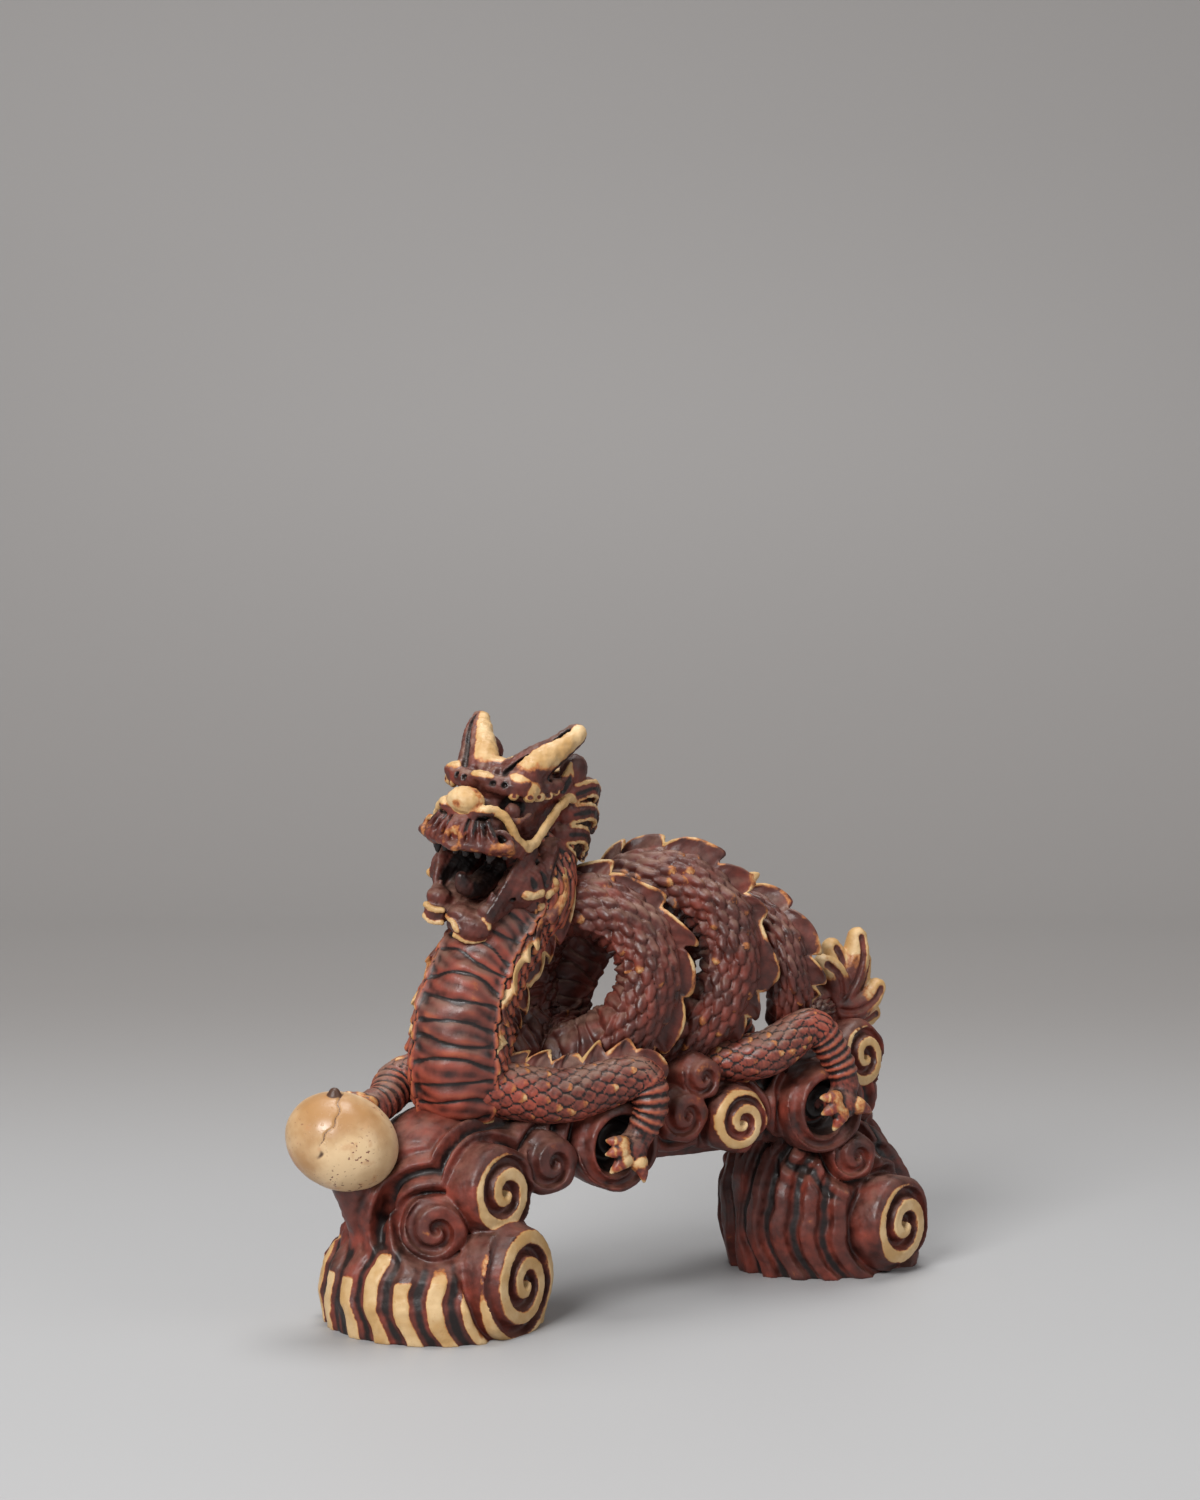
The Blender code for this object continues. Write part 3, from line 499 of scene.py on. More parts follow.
def neck():
    """Neck and chest with belly plates between raised rims, and its crest."""
    nape = head_point((-8, 0, -3))
    line = [nape, (-21.5, -1, 89.5), (-28, -1.5, 81.5), (-34.5, -2, 73), (-38.8, -2.5, 64),
            (-40, -2.5, 54.5), (-39.5, -2, 47), (-39, -1.5, 42)]
    factors = np.array((0.74, 0.84, 0.9, 0.93, 0.97, 1.03, 0.98, 0.72))
    stops = np.hstack((np.array(line), np.tile(NECK_BACK, (len(line), 1)), factors[:, None] * NECK_RADIUS))
    rows, places = even(curve(stops, 12), SKIN_STEP)
    ways, backs = frames(rows[:, :3], rows[:, 3:6])
    sides = int(2 * pi * NECK_RADIUS / SKIN_STEP)
    soft = 0.15 + 0.4 * ramp(places, 12, 40)[:, None]
    angles, reach, paint = hide(rows, places, 0.95, 22, 2.5, sides, 0.2, soft)
    turn = NECK_PLATES * ramp(places, 0, 20)[:, None]
    surface = swept(rows[:, :3], ways, backs, reach, angles + turn, paint)
    solid = len(surface[0])
    part = slice(int(12 / SKIN_STEP), int(52 / SKIN_STEP))
    for way, height in NECK_FRINGES:
        _, sides = frames(rows[part, :3], np.tile(way, (len(places[part]), 1)))
        surface = merged(surface, fin(rows[part], places[part], ways[part], sides, rows[part, 6], height))
    make_piece("neck", ["neck"], HIDE, surface, solid)
    surface = fin(rows[part], places[part], ways[part], backs[part], rows[part, 6], 3.6)
    make_piece("neck_crest", ["neck_crest"], HIDE, surface, 0)


# Head, in its own forward, left and up directions

HEAD_CENTRE = np.array((-27.8, -0.5, 105.0))
HEAD_TURN = radians(28)
HEAD_ROLL = radians(8)
AHEAD = np.array((-cos(HEAD_TURN), -sin(HEAD_TURN), 0.0))
LEVEL = np.cross(UP, AHEAD)
LEFTWARD = LEVEL * cos(HEAD_ROLL) - UP * sin(HEAD_ROLL)
HEAD_AXES = np.stack((AHEAD, LEFTWARD, np.cross(AHEAD, LEFTWARD)))


def head_point(local):
    return HEAD_CENTRE + np.asarray(local, float) @ HEAD_AXES


def both(form):
    """The form and its mirror image across the head's middle."""
    def distance(points):
        folded = points.copy()
        folded[..., 1] = np.abs(folded[..., 1])
        return form.distance(folded)
    reach = max(abs(form.low[1]), abs(form.high[1]))
    low, high = form.low.copy(), form.high.copy()
    low[1], high[1] = -reach, reach
    return Form(low, high, distance)


def balls(centre, radii):
    return both(ball(centre, radii))


def rods(stops, steps=4, squeeze=None):
    return both(strand(stops, steps, squeeze))


def above(low, high, amount):
    """Paint that comes in from one height to another."""
    return lambda p: amount * ramp(p[..., 2], low, high)


WHISKER = ((15.2, 4.8, 1.7, 0.8), (13.4, 7, 1.2, 1.0), (12, 8.6, -1, 1.1), (10.4, 9.6, -3.9, 1.15),
           (8.4, 10.3, -5.3, 1.2), (5.8, 10.7, -5.1, 1.2), (3.2, 11, -3, 1.1), (0.4, 11.2, -0.2, 1.1),
           (-2.8, 11.6, 2.6, 1.05), (-5.8, 11.8, 3.7, 1.0), (-8, 11.6, 2.6, 0.9), (-8.4, 11.6, 0.6, 0.7))
BROW_BEADS = ((9.8, 7.2, 4.8, 1.0), (7.2, 9.4, 4.8, 1.3), (4.4, 10, 4.7, 1.2), (1.8, 10.6, 4.8, 1.0),
              (-0.4, 11.2, 5.4, 0.8))


def head():
    clay = Clay((-23, -17.5, -23), (24, 17.5, 21), FINE_VOXEL)
    add, cut = clay.add, clay.cut
    add(ball((-3, 0, 0.5), (13, 10, 8.5)), 1)
    add(ball((3.5, 0, 5), (8, 7.4, 4.8)), 2)
    add(ball((11.2, 0, -1.8), (7.6, 7.2, 4.2)), 2.5)
    lip = [(17, 0, -5.2, 1.9), (16.2, 5.2, -4.9, 1.9), (12.6, 8.6, -5.4, 1.8), (6.5, 9.4, -6, 1.6)]
    add(rods(lip), 1.4)
    for left, rise in ((6.2, -2.6), (7.6, -3), (8.9, -3.4)):
        forward = 19.4 - 0.075 * left * left
        flute = [(forward - 1.8, left, rise, 0.7), (forward - 0.2, left + 0.3, -4.6, 0.8),
                 (forward - 0.6, left + 0.5, -6.4, 0.7)]
        add(rods(flute), 0.6, above(-3.8, -5.6, 0.55))
    loop = [(15 - 1.26 * cos(turn), 8 + 2.2 * cos(turn), -4.2 + 2.1 * sin(turn), 0.55)
            for turn in np.arange(9) * pi / 4]
    # Painted shade in the hollow inside the curl
    cut(balls((15.4, 8.4, -4.2), (1.6, 1.6, 1.3)), 0.6, -0.3)
    add(rods(loop, 3), 0.4, lambda p: 0.3 + 0.6 * waves(p, 4, 64))
    rim = [(19.2, 0, -6.2, 0.9), (18.6, 3, -5.5, 0.9), (17.4, 6.4, -5.3, 1.0), (14.8, 9.8, -5, 0.9)]
    add(rods(rim, 5), 0.7, lambda p: 0.25 + 0.35 * waves(p, 5, 63))
    back_rim = [(14.6, 10, -4.9, 1.1), (11.4, 9.8, -6.4, 0.8), (8, 10, -7.6, 0.6)]
    add(rods(back_rim), 0.5, lambda p: 0.15 + 0.6 * waves(p, 5, 65))
    add(ball((18.2, 0.6, -2.6), (1.2, 2.0, 1.3)), 0.8, lambda p: 0.5 * ramp(p[..., 0], 18.4, 19.2))
    add(ball((16.2, -0.1, 3.1), (3.1, 4.0, 2.8)), 0.4, lambda p: 0.7 + 0.7 * waves(p, 6, 62))
    for left in (1.6, 3.6, 5.6, 7.4):
        fold = [(17 - 0.1 * left, left * 0.75, -0.2, 0.6), (19.2 - 0.05 * left * left, left, -2.8, 0.7),
                (19.4 - 0.06 * left * left, left * 1.1, -5.4, 0.7)]
        add(rods(fold, 4), 0.35, above(-1.5, -3.5, 0.34))
        # Painted shade in the grooves between the folds
        cut(rods([(f + 0.5, l + 1, u, 0.45) for f, l, u, _ in fold[:2]], 4), 0.4, -0.35)
    wing = [(17, 2.6, 0.6, 1.0), (16.4, 4.6, 1.6, 1.3), (13.6, 5.6, 1.8, 1.0)]
    add(rods(wing), 0.5, above(0.9, 2.0, 0.85))
    # Painted shade in the nostril
    cut(balls((16.2, 4.4, 0.2), (1.2, 1.1, 0.7)), 0.3, -0.6)
    add(rods([(11, 1.5, 6.4, 1.8), (10, 4.6, 6.2, 2.0), (8.2, 7.6, 6.2, 2.0)]), 0.9)
    add(ball((11.4, 0.4, 7.4), (1.8, 2.8, 1.4)), 0.4, above(7.2, 8.2, 0.85))
    add(balls((8.6, 7.4, 7.2), (2.2, 2.5, 1.7)), 0.6, above(7.2, 8.6, 0.8))
    bare_side = lambda p: 0.7 * ramp(p[..., 1] * p[..., 1], 80, 100)
    add(balls((6.6, 9.2, 6.2), (2.0, 1.6, 1.8)), 0.5, bare_side)
    add(rods([(6.4, 8.6, 6.2, 1.6), (2.4, 9.8, 6.4, 1.6), (-1.8, 10.8, 6.6, 1.3)]), 0.8, 0.1)
    for forward, left in ((12, 3.4), (11.2, 5.6)):
        # Painted shade in the small pits
        cut(balls((forward, left, 6.8), (0.7, 0.5, 0.5)), 0.3, -0.5)
    add(rods([(3.4, 5.2, 8.4, 0.8), (-0.4, 6.8, 8.4, 0.7)]), 0.4, 0.9)
    add(ball((5, 0, 9.4), (2.6, 2.4, 1.6)), 0.6, above(9.8, 10.6, 0.85))
    for forward, left in ((8.2, 1.6), (7.4, 4.2), (2.4, 2.2)):
        add(balls((forward, left, 8.6), (1.5, 1.3, 1.1)), 0.4, 0.1)
    # Painted shade in the eye socket
    cut(balls((9.2, 7.4, 2.2), (3.9, 2.9, 2.6)), 0.8, -0.4)
    add(balls((8.8, 6.8, 1.4), 1.6), 0.2, 0.1)
    add(rods([(11.6, 5.4, 0.2, 0.5), (9, 8.2, -0.5, 0.6), (5.4, 9.2, 0.8, 0.5)]), 0.3, 0.2)
    for forward, left, up, radius in BROW_BEADS:
        add(balls((forward, left, up), radius), 0.25, 0.8)
        cut(balls((forward + radius * 0.8, left + radius * 0.6, up), 0.45), 0.1, 0.0)
    cut(balls((0.5, 11.6, -0.2), (4.8, 2.8, 3.2)), 1.0)
    add(rods(WHISKER, 4, (LEFT, 0.7)), 0.35, 0.95)
    horn(clay, 1)
    horn(clay, -1)
    ear_and_mane(clay)
    teeth(clay)
    points, quads, paint = clay.surface()
    # Painted shade: the inside of the mouth is painted dark
    inside = ramp(-points[:, 2], 6.6, 8) * ramp(8.4 - np.abs(points[:, 1]), 0, 1.5)
    inside = inside * ramp(points[:, 0], -6, 0)
    surface = rough(head_point(points), quads, paint - inside, 0.2, 2.2, 11)
    nodes = ["skull", "nose"] + [side + "_" + part for side in ("left", "right")
                                 for part in ("horn", "brow", "ear", "whisker", "mane")]
    make_piece("head", nodes, HIDE, surface)


def horn(clay, side):
    """A stout horn with long grooves, rubbed bare on the face that looks left."""
    rows = np.array(((4.4, 4.8, 7.2, 4.6), (1.4, 7, 10.8, 3.7), (-1.8, 9.4, 13.6, 2.9), (-4.8, 11, 16, 1.9)))
    if side > 0:
        rows[3] = (-5.6, 11.2, 16.8, 2.3)
    rows[:, 1] *= side
    clay.add(strand(rows, 5), 1.2)
    radii = rows[:, 3:]
    bare = np.hstack((rows[:, :3] + radii * (0.2, 0.42, 0.25), radii * 0.74))
    clay.add(strand(bare, 5), 0.5, lambda p: 0.1 + 0.85 * ramp(p[..., 2], 8.5, 12.5))
    for way in ((0.95, -0.15, 0.3), (-0.35, 1.05, -0.3)):
        groove = np.hstack((rows[:, :3] + radii * np.array(way), radii * 0.05 + 0.35))
        # Painted shade in the grooves
        clay.cut(strand(groove, 5), 0.5, -0.3)
    clay.add(ball((-8.6, 10.2 * side, 9), (3.6, 2.6, 3.4)), 1.2)


def ear_and_mane(clay):
    """Leaf ears, and flat locks that fold back behind the cheeks."""
    ear = [(-2.5, 9.8, 4.4, 2.0), (-4.4, 11, 7.2, 1.8), (-5.2, 11, 10.6, 0.6)]
    clay.add(rods(ear, 5, ((0.3, 1, 0), 0.5)), 0.6, above(7.6, 8.8, 0.7))
    # Painted shade in the ear's groove, and on the mass under the locks where it shows between them
    clay.cut(rods([(-3.2, 11.6, 5.4, 0.7), (-4.8, 12.2, 8.6, 0.4)]), 0.4, -0.3)
    clay.add(balls((-12.5, 9, -2.6), (6.5, 3, 9)), 1.5, -0.3)
    locks = (((-7, 10, 4.4), (-12.5, 11.6, 5.4), (-17.6, 10.8, 3.2), (-16, 11.6, 1.2)),
             ((-7, 10.2, 0.2), (-13, 11.8, 0.4), (-18.4, 10.6, -2.4), (-16.6, 11.6, -4.2)),
             ((-6.5, 10, -4), (-12, 11.4, -4.6), (-16.2, 10.4, -8), (-14.4, 11.2, -10)),
             ((-4, 9.2, -7), (-9, 10.6, -9.4), (-13.2, 9.6, -13.6), (-11.6, 10.4, -16)),
             ((-3, 9.6, -8), (0.4, 11, -12), (-1, 11.6, -16), (-4, 11, -17.4)),
             ((1, 9, -12), (3.6, 10.2, -16), (2, 10.6, -19.4), (-1, 10, -20.6)),
             ((-8, 4, 6), (-14, 5, 6.4), (-18, 5, 3.6), (-17, 5.5, 1)),
             ((-9, 3.5, 0), (-15.5, 4.5, -0.4), (-18.8, 4.6, -3.4), (-17.6, 5, -6)),
             ((-8, 3.5, -6), (-14, 4.5, -8), (-16.8, 4.6, -12), (-15.6, 5, -15)))
    for lock in locks:
        radii = (2.4, 2.0, 1.4, 0.6)
        core = [(*stop, radius) for stop, radius in zip(lock, radii)]
        clay.add(rods(core, 5), 0.4)
        for shift in (0.75, -0.75):
            edge = [(f, l + 0.75 * r, u + shift * r, 0.42) for (f, l, u), r in zip(lock, radii)]
            clay.add(rods(edge, 5), 0.25, lambda p: 0.75 * ramp(np.abs(p[..., 0] + 3), 2, 5))
        groove = [(f, l + 1.15 * r, u, 0.4) for (f, l, u), r in zip(lock, radii)]
        # Painted shade in the groove
        clay.cut(rods(groove, 5), 0.3, -0.4)


def teeth(clay):
    """Upper fangs and a row of blunt teeth behind the lip."""
    clay.add(rods([(14.6, 6.4, -6.6, 1.2), (14.6, 6.2, -8.6, 0.5)]), 0.4, 0.1)
    for forward, left in ((16, 1.2), (15.6, 3.8), (11.4, 7.8), (8.6, 8.2)):
        clay.add(rods([(forward, left, -6, 1.0), (forward, left, -7.8, 0.6)]), 0.3)


LIP_LUMPS = (((12.4, 2.4, -23), (3.4, 4.7, 3.2)), ((12.8, -5.4, -21.4), (3.0, 2.9, 2.5)),
             ((12.6, -5.8, -18.4), (2.6, 2.5, 2.2)), ((11.2, 5.4, -19.6), (2.4, 2.2, 2.2)))
LIP_EDGES = (((14.6, -2, -21.6), (15.6, 0, -22.4), (15.8, 1.2, -23.6)),
             ((13.2, 5.6, -20.8), (12.8, 6.8, -22.4)),
             ((15, 0.4, -25), (13.8, 3.4, -25.8), (12, 5.6, -25)),
             ((15.4, -7, -20), (15.6, -5, -20.6), (15.2, -3, -20.4)),
             ((14.6, -7.4, -22.6), (15, -5.4, -23.4), (14.4, -3.4, -23.2)))
JAW_FRILLS = (((7.6, 11.4, -15.2), (5.8, 12.2, -15.4), (3.4, 12.7, -15)),
              ((1, 13, -15.6), (-1.6, 13.1, -14.4), (-1, 13, -13)),
              ((-5.2, 12.4, -11.4), (-6, 12.5, -14), (-5, 12.5, -16.8), (-1, 12.4, -18.2), (2.6, 12, -18.2)))


def jaw():
    """Open lower jaw with a lumpy lip, a raised tongue, frilled cheeks and a short beard."""
    clay = Clay((-14, -16, -33), (20, 16, -4), FINE_VOXEL)
    add, cut = clay.add, clay.cut
    cheek = [(-7, 7.4, -7, 3.4), (-2, 7.6, -12, 3.1), (4, 6.4, -16.6, 2.8), (9.5, 5, -19.6, 2.5)]
    add(rods(cheek), 1)
    add(strand([(2, 0, -19.6, 4.2), (8.5, 0, -21.4, 3.6), (13, 0, -20.8, 2.6)], 4, (UP, 0.7)), 2.5)
    for lump, radii in LIP_LUMPS:
        add(ball(lump, radii), 0.7)
    for line in LIP_EDGES:
        add(strand([(*stop, 0.6) for stop in line], 5), 0.4, 0.8)
    web = [(12, 6.6, -20, 1.6), (9.6, 7.8, -15.6, 2.2), (7, 8.8, -11.4, 2.6), (4, 9.4, -7.6, 2.6)]
    add(rods(web, 5, (LEFT, 0.45)), 0.8, -0.05)
    add(balls((0.5, 9, -14), (9, 4.1, 5.6)), 1.2)
    for shift in (0, 3.6, 7):
        pleat = [(7.4 - shift, 11.6 + 0.2 * shift, -9.6, 0.4), (5.6 - shift, 12.6 + 0.1 * shift, -13.4, 0.6)]
        # Painted shade in the pleats
        cut(rods(pleat, 4), 0.6, -0.4)
    crease = [(8.6, 9, -16.8, 0.4), (5.6, 9.8, -12.6, 0.5), (2.6, 10.4, -9, 0.4)]
    # Painted shade in the crease
    cut(rods(crease, 4), 0.5, -0.4)
    for frill in JAW_FRILLS:
        add(rods([(*stop, 0.85) for stop in frill], 5), 0.5, 0.75)
    tongue = [(0, 0, -13, 2.8), (7, 0, -15.6, 2.6), (12.6, 0, -15, 2.0), (14.6, 0, -13, 1.2)]
    add(strand(tongue, 5), 0.8, -0.12)
    cut(strand([(4, 0, -12, 0.5), (13.6, 0, -12.8, 0.5)]), 0.5)
    add(rods([(11.6, 6, -19, 1.3), (11.8, 6.2, -15.6, 0.5)]), 0.4, 0.15)
    for left in (0, 3.4):
        beard = [(11 - left, left, -22, 2.4), (9.6 - left, left * 1.3, -25, 2.0),
                 (8.2 - left, left * 1.4, -28, 0.6)]
        add(rods(beard, 4), 0.8)
        add(rods([(f + 1.8, l + 0.5, u, 0.4) for f, l, u, _ in beard], 4), 0.3, 0.5)
    points, quads, paint = clay.surface()
    # Painted shade: the inside of the mouth is painted dark
    inside = ramp(points[:, 2] + 0.5 * points[:, 0], -13, -9) * ramp(7.4 - np.abs(points[:, 1]), 0, 1.5)
    surface = rough(head_point(points), quads, paint - inside * ramp(13 - points[:, 0], 0, 3), 0.16, 2.0, 12)
    make_piece("lower_jaw", ["lower_jaw", "tongue"], HIDE, surface)


# Clouds

class Scroll:
    """A spiral cloud scroll on the face of its CAD node."""

    def __init__(self, node, facing, cream, depth, turns, bare=0.9, shift=(0, 0, 0), size=1.0, hollow=0.0):
        low, high = node_box(node)
        radius = (high[2] - low[2]) / 2
        self.facing = unit(facing)
        self.up = unit(UP - self.facing * self.facing[2])
        self.right = np.cross(self.up, self.facing)
        self.radius = radius * size
        self.pitch = radius / turns * size
        self.centre = (low + high) / 2 + self.facing * (depth / 2 + 0.4) + shift
        self.spin = 1 if self.facing[1] < 0 else -1
        self.depth, self.cream, self.hollow, self.bare = depth, cream, hollow, bare

    def local(self, points):
        offset = points - self.centre
        across = offset @ self.right
        rise = offset @ self.up
        angle = np.arctan2(rise, across)
        return np.hypot(across, rise), angle, offset @ self.facing

    def spiral(self, out, angle):
        """1 on the middle of the spiral ridge and -1 in the groove."""
        return np.cos(2 * pi * (out / self.pitch + self.spin * angle / (2 * pi)))

    def form(self):
        def distance(points):
            out, angle, high = self.local(points)
            wall = self.radius + 0.25 * np.sin(angle * 5 + self.centre[0])
            ridge = ramp(self.spiral(out, angle), -0.9, 0.1) * ramp(out, 0.3, 1.2)
            dome = -1.6 * (out / wall) ** 4 - self.hollow * ramp(self.radius * 0.76 - out, 0, 2.6)
            top = high - dome - 0.42 * self.pitch * (ridge - 0.6)
            side = out - wall
            edge = np.maximum(top, side)
            soft = np.maximum(0, 1.2 - np.abs(top - side))
            return np.maximum(edge + soft * soft / 4.8, -high - self.depth)
        flat = (np.abs(self.right) + np.abs(self.up)) * (self.radius + 1)
        ends = np.stack((self.centre + self.facing * 2, self.centre - self.facing * self.depth))
        return Form(ends.min(0) - flat, ends.max(0) + flat, distance)

    def paint(self, points):
        out, angle, high = self.local(points)
        ridge = ramp(self.spiral(out, angle), -0.2, 0.3)
        bare = self.cream * ridge * ramp(high, -3.6, -2.2) * ramp(self.bare * self.radius - out, -0.3, 0.3)
        # Cream on the spiral ridge, and painted shade deep in a cup's hollow
        return bare - (self.hollow > 0) * ramp(-high, 1.5, 4) * ramp(self.radius * 0.9 - out, 0, 1)


FLOW_STEP = 4.4
FLOW_REACH = 11.0
FLOW_FLOOR = (14, 20)


def flows(clay, scrolls, amount):
    """Grooves that run round the scrolls, over the cloud between them, with painted shade in their troughs.
    """
    points = clay.window(clay.low, clay.low + clay.size * clay.voxel)[1]
    nearest = np.full(points.shape[:-1], FAR)
    for scroll in scrolls:
        out, _, high = scroll.local(points)
        gap = np.hypot(np.maximum(out - scroll.radius, 0), np.maximum(np.abs(high) - 6, 0) * 1.5)
        nearest = np.minimum(nearest, np.where(out > scroll.radius - 0.5, gap, FAR))
    groove = -np.cos(2 * pi * nearest / FLOW_STEP) * ramp(FLOW_REACH - nearest, 0, 5)
    groove = groove * ramp(points[..., 2], *FLOW_FLOOR)
    clay.field += (-amount * groove).astype(np.float32)
    # Painted shade: dark lines in the troughs of the grooves
    clay.cream -= (0.28 * ramp(-groove, 0.25, 0.9)).astype(np.float32)


FOOT_SHARES = (0, 0.3, 0.55, 0.78, 1)
FOOT_FACTORS = (0.95, 1, 0.95, 0.8, 0.62)


def foot(clay, node, scrolls, main, period, depth, cream, lean=0.0):
    """A cloud foot that stands flat on the ground, with ribs that run round its main scroll."""
    low, high = node_box(node)
    middle = (low + high) / 2
    half = (high - low) / 2
    main_angle = np.arctan2(*((main.centre - middle) / half)[1::-1])

    def shape(points):
        share = np.clip(points[..., 2] / high[2], 0, 1)
        factor = np.interp(share, FOOT_SHARES, FOOT_FACTORS)
        x = (points[..., 0] - middle[0] - lean * share) / (half[0] * factor)
        y = (points[..., 1] - middle[1]) / (half[1] * factor)
        return np.hypot(x, y), np.arctan2(-np.abs(y), x), factor * half[:2].min()

    def count(points, angle):
        along = (angle - main_angle) * half[:2].mean()
        out = np.hypot(along, points[..., 2] - main.centre[2])
        height = points[..., 2]
        bend = 0.08 * np.sin(height * 0.4 + 2 * angle) + 0.02 * np.sin(height * 0.9 + 5 * angle)
        return (out - main.radius) / period + bend

    def clear(points):
        share = np.ones(points.shape[:-1])
        for scroll in scrolls:
            out, _, high = scroll.local(points)
            share *= np.maximum(ramp(out - scroll.radius, -0.5, 3), ramp(np.abs(high), 7, 9))
        return share

    def distance(points):
        out, angle, size = shape(points)
        free = clear(points)
        crest = -np.cos(2 * pi * count(points, angle))
        side = (out - 1) * size - depth * free * (ramp(crest, -0.7, 0.5) - 0.6) + 2.6 * (1 - free)
        return np.maximum(side, np.maximum(-points[..., 2], points[..., 2] - high[2]))

    def paint(points):
        number = count(points, shape(points)[1])
        limit = high[2] * np.where(number < 1, 1.2, 0.64 + 0.12 * np.sin(np.floor(number) * 2.7))
        fade = ramp(limit - points[..., 2], -0.6, 0.6)
        crest = -np.cos(2 * pi * number)
        # Cream on the ribs, and painted shade in the valleys between them
        return clear(points) * (cream * fade * ramp(crest, -0.1, 0.25) - 0.25 * ramp(-crest, 0.6, 1.0))
    clay.add(Form(low, high, distance), 0.8, paint)


def pearl_centre():
    low, high = node_box("pearl")
    return (low + high) / 2


# The way a scroll faces on the right side, its bare paint, depth, turns, bare share, shift and size
SCROLLS = {
    "front_foot_scroll": ((0.43, 0.9, 0), 1.0, 9.0, 2.3, 1.2, (0, 0, -1.6), 1.12),
    "front_upper_scroll": ((0.25, 0.97, 0), 1.0, 7.0, 1.9, 0.84, (0, 0, 0), 1.04),
    "front_curl": ((-0.44, 0.9, 0), 0.12, 7.0, 1.35, 0.84),
    "front_back_curl": ((0, 1, 0), 0.2, 7.0, 1.35, 0.84),
    "mid_scroll": ((0, 1, 0), 1.0, 7.0, 1.9, 0.95),
    "mid_curl": ((0, 1, 0), 0.2, 7.0, 1.35, 0.84),
    "rear_top_scroll": ((0.25, 0.95, 0.1), 1.0, 7.0, 1.9, 0.84, (0, 0, 0), 1.04),
    "rear_curl": ((-0.07, 1, 0), 0.15, 7.0, 1.35, 0.84),
    "rear_foot_scroll": ((0.28, 0.96, 0), 1.0, 9.0, 1.9, 0.84),
}
# The same for the curls' twins and the cups, without the way they face
TWIN = (0.2, 7.0, 1.35, 0.9, (4.4, 0, 7.4), 0.85)
CUP = (0.15, 9.0, 2.2)
CUP_HOLLOW = 5.0


def clouds():
    """The cloud stand in three castings: front, bridge and rear."""
    groups = {"front": {}, "mid": {}, "rear": {}}
    twins = []
    for side, sign in (("left", -1), ("right", 1)):
        for part, (facing, *rest) in SCROLLS.items():
            node = side + "_" + part
            groups[part.split("_")[0]][node] = Scroll(node, facing * np.array((1, sign, 1)), *rest)
        twins.append(Scroll(side + "_mid_curl", (0, sign, 0), *TWIN))
    front, middle, rear = groups.values()
    cups = {node: Scroll(node, (0, sign, 0), *CUP, hollow=CUP_HOLLOW)
            for node, sign in (("left_fore_cup", -1), ("left_hind_cup", -1), ("right_hind_cup", 1))}

    clay = Clay((-79, -29, -1.2), (-14, 29, 50), CLOUD_VOXEL)
    foot(clay, "front_foot", front.values(), front["left_front_foot_scroll"], 7.0, 0.8, 1.0)
    stem = [(-55, 0, 15, 8), (-60.5, -0.5, 23, 4.6), (*(pearl_centre() + (3, 0, -7)), 5.6)]
    for form in (ball((-43, 0, 31), (16, 14, 14)), ball((-30, 0, 36), (13, 13, 9)), strand(stem)):
        clay.add(form, 2.0)
    nodes = ["front_foot", "front_column", "pearl_stem", *front]
    finish_cloud(clay, "front_cloud", nodes, front.values(), 1.1)

    clay = Clay((-34, -26, 22), (70, 26, 53), CLOUD_VOXEL)
    beam = [(x, 0, 37.7 + 0.4 * sin(x * 0.3), 12.8 + 0.4 * sin(x * 0.55)) for x in range(-24, 56, 7)]
    clay.add(strand(beam, 2, (UP, 0.7)), 1.5)
    for x, z in ((-2, 45), (14, 45), (30, 45), (48, 46)):
        for sign in (-1, 1):
            clay.add(ball((x, sign * 7, z), (7, 4, 2.6)), 2.0)
    scrolls = [*twins, *middle.values(), *cups.values()]
    finish_cloud(clay, "bridge_cloud", ["cloud_beam", *cups, *middle], scrolls, 1.0)

    clay = Clay((31, -27, -1.2), (80, 27, 56), CLOUD_VOXEL)
    foot(clay, "rear_foot", rear.values(), rear["left_rear_foot_scroll"], 6.4, 1.8, 0.1, -5.0)
    for form in (ball((52, 0, 37), (10, 11.5, 10)), ball((57, 0, 44), (6, 9.5, 6))):
        clay.add(form, 2.0)
    hind_cups = (cups["left_hind_cup"], cups["right_hind_cup"])
    finish_cloud(clay, "rear_cloud", ["rear_foot", *rear], rear.values(), 0.6, hind_cups)


def finish_cloud(clay, name, nodes, scrolls, groove, neighbours=()):
    """Grooves round the scrolls, the scrolls and an uneven surface, made into one piece."""
    flows(clay, [*scrolls, *neighbours], groove)
    for scroll in scrolls:
        clay.add(scroll.form(), 0.6, scroll.paint)
    points, quads, paint = clay.surface()
    bumps = 0.14 * waves(points, 5, 21) + 0.06 * waves(points, 1.6, 22)
    points = raised(points, quads, bumps * ramp(points[:, 2], 0.05, 0.6))
    points[:, 2] = np.maximum(points[:, 2], 0)
    make_piece(name, nodes, CLOUD, (points, quads, paint))


# The side of the pearl that faces the key lamp and the camera
PEARL_LIT_SIDE = unit((-0.75, -0.6, 0.3))


